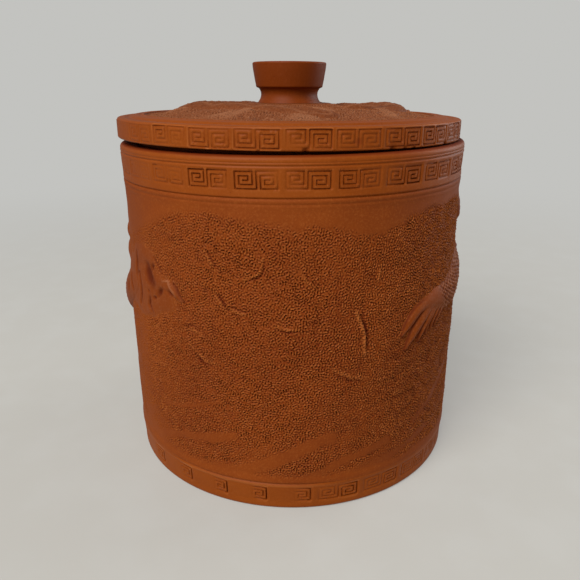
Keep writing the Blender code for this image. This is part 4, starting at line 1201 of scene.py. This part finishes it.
def make_head():
    """The head in side view, looking along the wall, with open jaw, teeth, horns, mane and whiskers."""
    horns = [laid([(249, 70, 4.8, 3.6), (240, 76.5, 3.8, 2.8), (231, 77.5, 1.2, 1)]),
             laid([(252, 72.5, 4.8, 3.6), (247, 81.5, 3.8, 2.8), (249, 89, 1.2, 1)])]
    manes = [laid([(246, 70 - 5 * n, 4.6, 3), (241.5, 71.6 - 5.3 * n, 4.4, 2.8),
                   (237, 72.5 - 5.5 * n, 3.8, 2.2), (232.5, 71.8 - 5.3 * n, 2.6, 1.5),
                   (228.5, 69.4 - 4.8 * n, 0.9, 0.6)]) for n in range(4)]
    beards = [laid([(252 - 3 * n, 55.5, 2.8, 2), (250 - 3.2 * n, 50.5, 2.4, 1.4),
                    (246 - 3 * n, 46.5, 0.8, 0.5)]) for n in range(3)]
    whiskers = [laid([(263, 70, 2.2, 2.2), (267, 73.5, 1.8, 1.5), (265.5, 77.6, 1.6, 1.2),
                      (260.5, 79.6, 0.7, 0.5)]),
                laid([(263.5, 64, 2, 2), (269.5, 62.5, 1.7, 1.3), (272.5, 57.5, 1.5, 1),
                      (269.5, 53.5, 0.7, 0.5)])]
    brow = laid([(246, 70.6, 2.6, 3), (250.5, 73, 3, 3.6), (255, 71.6, 2.6, 3.2), (257.5, 69.6, 1.4, 1.4)])
    jaw = laid([(246.5, 58.5, 6, 3.4), (252, 56.4, 5.4, 3.4), (258, 56.6, 4.6, 3), (263, 59.2, 3.4, 2.4)])
    lips = laid([(252, 62, 2, 4.4), (257, 61.9, 2, 4), (262, 62.4, 2.2, 3.8), (266.5, 63.8, 1.6, 2.6)])
    teeth = [laid([(angle, 61.6, 1.5, 3), (angle + 0.4, 59.4 - extra, 0.6, 1.4)]) for angle, extra in
             ((254.5, 0), (257, 0), (259.5, 0.3), (262.4, 1.4), (265, 0.4))]
    skull, snout, nose, eye, nostril, cheek = laid([
        (248, 64), (257.5, 65.5), (264.5, 68), (252.6, 68.4), (265.4, 68.4), (247.5, 62)])

    def height_of(across, up):
        def from_place(place):
            return np.hypot(across - place[0], up - place[1])

        face = merged(dome(across, up, skull, (10.5, 8.5, 5.2), 10),
                      dome(across, up, snout, (9.2, 4.6, 4.2), 8))
        face = merged(face, dome(across, up, nose, (3, 3, 4.6)), soft=0.8)
        face = merged(face, roll(follow(across, up, brow), 0.6), roll(follow(across, up, lips), 0.7),
                      soft=0.6)
        mouth = groove(across, up, ((250, 60.4), (256, 60), (262, 60.4), (268, 61.4)), 1.5, 4.2)
        eye_far, cheek_far = from_place(eye), from_place(cheek)
        ball = unit(1 - (eye_far / 2.1) ** 2) ** 0.5
        hollows = -0.9 * hump(eye_far - 2.5, 0.8) - 0.55 * hump(eye_far, 0.75) - hump(from_place(nostril), 1)
        folds = 0.5 * np.cos(cheek_far * 2.2) * hump(cheek_far, 5.5)
        face = np.maximum(face + mouth, -0.2) * (face > 0) + face * (face <= 0)
        face = face + (hollows + ball + folds) * (face > 0.3)
        fangs = np.max([roll(tooth, 0.6) for tooth in follow_each(across, up, teeth, 3)], axis=0)
        head = np.maximum(merged(face, roll(follow(across, up, jaw), 0.6), soft=0.5), fangs)
        hair, lines = -9.0, 0.0
        for strand in follow_each(across, up, (*manes, *beards)):
            lock = roll(strand, 0.6)
            line = np.cos(strand.side * 5.2)
            lines = np.where(lock > hair, line, lines)
            hair = np.maximum(hair, lock + 0.2 * line * (lock > 0.2))
        thin = [roll(strand, 0.6) + 0.14 * np.cos(strand.along * 4.2)
                for strand in follow_each(across, up, (*horns, *whiskers))]
        height = np.maximum(merged(head, hair, soft=0.5), np.max(thin, axis=0))
        # Painted shade in the mouth, eye sockets, nostril and between hair strands; painted highlight on the
        # eye, the fangs and the strands
        pit = unit(-mouth / 4) * (head > hair) * (face > -0.3) * (fangs < 0) * 0.9
        pit = pit + unit(-hollows) * 0.8 + (lines < -0.5) * (hair > head) * 0.35
        crest = ball * 0.3 + (fangs > 0.2) * 0.5 + (lines > 0.7) * (hair > head) * 0.25
        return tooled(across, up, height, 60, 0.6), pit, crest

    make_relief("dragon_head", [*horns, *manes, *beards, *whiskers, jaw], height_of, cell=0.36)


def scroll_routes(angle, height, reach, facing):
    """A cloud: a main scroll that runs out into a wisp, and two smaller curls on its back."""
    middle = float(unrolled(angle))

    def spiral(over, above, size, start, turns, width, thick, steps):
        points = []
        for step in range(steps + 1):
            share = step / steps
            turn = math.radians(start + 360 * turns * share)
            far = reach * size * (0.16 + 0.84 * share)
            points.append((middle + facing * (reach * over + far * math.cos(turn)),
                           height + reach * above + far * 0.85 * math.sin(turn),
                           reach * width * (0.7 + 0.5 * share), reach * thick * (0.75 + 0.35 * share)))
        return points

    main = spiral(0, 0, 1, 120, 1.15, 0.34, 0.25, 14)
    wisp = [(*main[-1][:2], reach * 0.4, reach * 0.26)]
    wisp += [(middle + facing * reach * over, height + reach * above, reach * width, reach * thick)
             for over, above, width, thick in ((-0.2, -1.12, 0.42, 0.26), (0.7, -1.25, 0.36, 0.2),
                                               (1.5, -1.05, 0.26, 0.15), (2.1, -1.15, 0.1, 0.06))]
    second = spiral(1.15, -0.25, 0.62, 200, 1, 0.26, 0.2, 10)
    third = spiral(0.45, 0.85, 0.5, 150, 0.95, 0.24, 0.19, 10)
    return [third, second, wisp, main]


def make_clouds():
    for node, angle, height, reach, facing in (
        ("cloud_over_tail", 112, 90, 7.4, 1), ("cloud_under_back", 184, 56, 7.4, -1),
        ("cloud_at_foot", 116, 20, 5.9, -1), ("cloud_under_head", 228, 23.5, 7.4, 1),
    ):
        routes = scroll_routes(angle, height, reach, facing)

        def height_of(across, up):
            total, lines = -9.0, 0.0
            for path in follow_each(across, up, routes, 3):
                part = roll(path, 0.6)
                cut = hump(path.side - path.width * 0.12, 0.42)
                part = part - 0.42 * cut * (part > 0.3)
                lines = np.where(part > total, cut, lines)
                total = np.maximum(total, part)
            total = tooled(across, up, total, 66, 0.6)
            # Painted shade along the scrolls' cut lines
            return total, lines * 0.5 * (total > 0.2), 0.0

        make_relief(node, routes, height_of)


def make_pearl():
    place, centre = 268, 87
    flames = [laid([(place + 0.3 * n, centre + 3, 4.6, 2.2), (place - 0.5 + 2.6 * n, centre + 6.5, 3.6, 1.9),
                    (place - 0.8 + 5.2 * n, centre + 9.5, 2.2, 1.2),
                    (place - 1 + 6 * n, centre + 12.3 - 2.2 * abs(n), 0.8, 0.5)]) for n in (-1, 0, 1)]
    flames += [laid([(place + 3 * n, centre - 1, 3.4, 1.6), (place + 6.2 * n, centre + 1.5, 2.6, 1.3),
                     (place + 7.4 * n, centre + 5.5, 0.8, 0.5)]) for n in (-1, 1)]
    middle = (float(unrolled(place)), centre)

    def height_of(across, up):
        ball = dome(across, up, middle, (5.2, 5.2, 3.4), flat=0.5)
        far = np.hypot(across - middle[0], up - middle[1])
        turn = np.arctan2(up - middle[1], across - middle[0])
        spiral = hump(((turn / (2 * math.pi) + far / 4.4) % 1) - 0.5, 0.16) * (far < 3.6) * (far > 0.5)
        fire = [roll(flame, 0.6) - 0.3 * hump(flame.side, 0.4) for flame in follow_each(across, up, flames)]
        height = np.maximum(ball - 0.45 * spiral, np.max(fire, axis=0) - 0.5 * hump(far - 5.2, 0.5))
        # Painted shade in the spiral's groove
        return tooled(across, up, height, 70, 0.5), spiral * 0.5, 0.0

    make_relief("flaming_pearl", [*flames, [(*middle, 12)]], height_of)


# Routes round the knob: (angle, radius, size)
LID_RELIEF = {
    "lid_dragon": ((-150, 30, 0.45), (-125, 37, 0.8), (-95, 37, 1), (-65, 33, 1), (-35, 29, 0.9),
                   (-5, 33, 0.75), (18, 40, 0.5)),
    "lid_cloud_right": ((40, 30, 0.5), (62, 33, 0.9), (85, 39, 1), (108, 37, 0.85), (130, 30, 0.45)),
    "lid_cloud_back": ((155, 40, 0.5), (175, 35, 0.8), (192, 30, 0.7), (204, 38, 0.45)),
}


def make_lid_relief():
    """A dragon's back and cloud wisps round the knob."""
    for node, places in LID_RELIEF.items():
        route = []
        for angle, radius, size in places:
            turn = math.radians(angle)
            route.append((radius * math.sin(turn), -radius * math.cos(turn), 15 * size, 1.45 * size))

        def height_of(across, up):
            path = follow(across, up, route)
            part = roll(path, 0.7)
            if node == "lid_dragon":
                scales = scaled(path, 2.8, 2.9)
                pit, extra = (1 - scales) ** 3 * 0.35, 0.3 * scales
            else:
                band = (path.side / path.width + 0.5) * 3 + 0.25 * np.sin(path.along / 4)
                lines = hump(band % 1 - 0.5, 0.2)
                pit, extra = lines * 0.6, -0.5 * lines + 0.35 * np.sin(path.along / 3.1)
            part = part + extra * (part > 0.2)
            pressed, hole, ridge = pitted(across, up, 0.6 * (part > 0.1))
            edge = np.abs(path.side) / path.width - 0.25 + 0.1 * np.sin(path.along / 2.7)
            height = tooled(across, up, part, 74) + (0.4 * rough(across, up, 5, 75) - 0.15) * (part > 0)
            # Painted highlight along a line near each edge and on the pits' crests; painted shade in the
            # scales' gaps, the cloud lines and the pits
            crest = (0.5 * hump(edge, 0.09) + 0.6 * ridge) * (part > 0.1)
            return height + pressed, pit * (part > 0.2) + 0.6 * hole, crest

        make_relief(node, [route], height_of, body="lid")


make_pot()
make_ground()
make_bands()
make_lid()
make_lid_ground()
make_knob()
make_body()
make_tail()
make_haunch()
make_reaching_claw()
make_foot("dragon_hind_foot", ((140, 42), (152, 34), (160, 25)),
          ((172, 33, 2), (175, 24, 1.5), (170, 16.5, -1.5), (156, 16.5, -1)), 80)
make_foot("dragon_fore_foot", ((203, 74.5), (218, 86), (227, 90)),
          ((240, 97, 2), (243, 89, 1.5), (238, 82, -1.5), (226, 101, 1)), 84)
make_head()
make_clouds()
make_pearl()
make_lid_relief()


# Floor, light and camera

BACKDROP = (0.545, 0.545, 0.525, 1)


def make_floor():
    """A pale table that keeps the jar's shadow near it and runs out into the plain background."""
    shape = bmesh.new()
    bmesh.ops.create_circle(shape, cap_ends=True, segments=96, radius=6)
    floor = made("floor", shape)
    material, tree, shader = new_material("pale_table")
    place = tree.nodes.new("ShaderNodeTexCoord").outputs["Object"]
    worn = add(tree, "ShaderNodeTexNoise", (("Vector", place), ("Scale", 45), ("Detail", 5))).outputs["Fac"]
    colour = blended(tree, ramp(tree, worn, 0.4, 0.7), (0.5, 0.475, 0.42, 1), (0.52, 0.5, 0.45, 1))
    tree.links.new(colour, shader.inputs["Base Color"])
    shader.inputs["Roughness"].default_value = 0.6
    away = add(tree, "ShaderNodeVectorMath", ((0, place),), operation="LENGTH").outputs["Value"]
    seen = add(tree, "ShaderNodeLightPath").outputs["Is Camera Ray"]
    share = sum_of(tree, "MULTIPLY", seen, ramp(tree, away, 0.1, 0.75, 0.45, 1))
    plain = add(tree, "ShaderNodeEmission", (("Color", BACKDROP), ("Strength", 1)))
    mix = add(tree, "ShaderNodeMixShader", ((0, share), (1, shader.outputs[0]), (2, plain.outputs[0])))
    tree.links.new(mix.outputs[0], tree.nodes["Material Output"].inputs["Surface"])
    floor.data.materials.append(material)


def make_light():
    """A wide window at the upper left of the plain side, a weak glow from the right behind, an even room."""
    world = bpy.data.worlds.new("studio")
    bpy.context.scene.world = world
    world.use_nodes = True
    tree = world.node_tree
    sky = tree.nodes["Background"]
    seen = add(tree, "ShaderNodeLightPath").outputs["Is Camera Ray"]
    tree.links.new(blended(tree, seen, (0.32, 0.325, 0.33, 1), BACKDROP), sky.inputs["Color"])
    sky.inputs["Strength"].default_value = 1
    for name, place, size, power, tint in (
        ("window", (-0.56, -0.92, 1.15), 1, 26, (1, 0.98, 0.95)),
        ("room", (1.25, 0.6, 0.5), 0.9, 9, (0.95, 0.97, 1)),
    ):
        lamp = bpy.data.lights.new(name, "AREA")
        lamp.shape = "DISK"
        lamp.size = size
        lamp.energy = power
        lamp.color = tint
        holder = bpy.data.objects.new(name, lamp)
        bpy.context.scene.collection.objects.link(holder)
        holder.location = place
        aim = Matrix.Translation((0, 0, 0.07)).translation - holder.location
        holder.rotation_euler = aim.to_track_quat("-Z", "Y").to_euler()


def make_camera():
    camera = bpy.data.cameras.new("camera")
    camera.sensor_width = 36
    camera.lens = 36
    camera.clip_start, camera.clip_end = 0.01, 20
    holder = bpy.data.objects.new("camera", camera)
    bpy.context.scene.collection.objects.link(holder)
    holder.location = (-0.00101, -0.236, 0.143)
    tip = Matrix.Rotation(math.radians(90 - 19.4), 3, "X") @ Matrix.Rotation(math.radians(-0.196), 3, "Z")
    holder.rotation_euler = tip.to_euler()
    bpy.context.scene.camera = holder


make_floor()
make_light()
make_camera()
bpy.context.scene.view_settings.view_transform = "Standard"
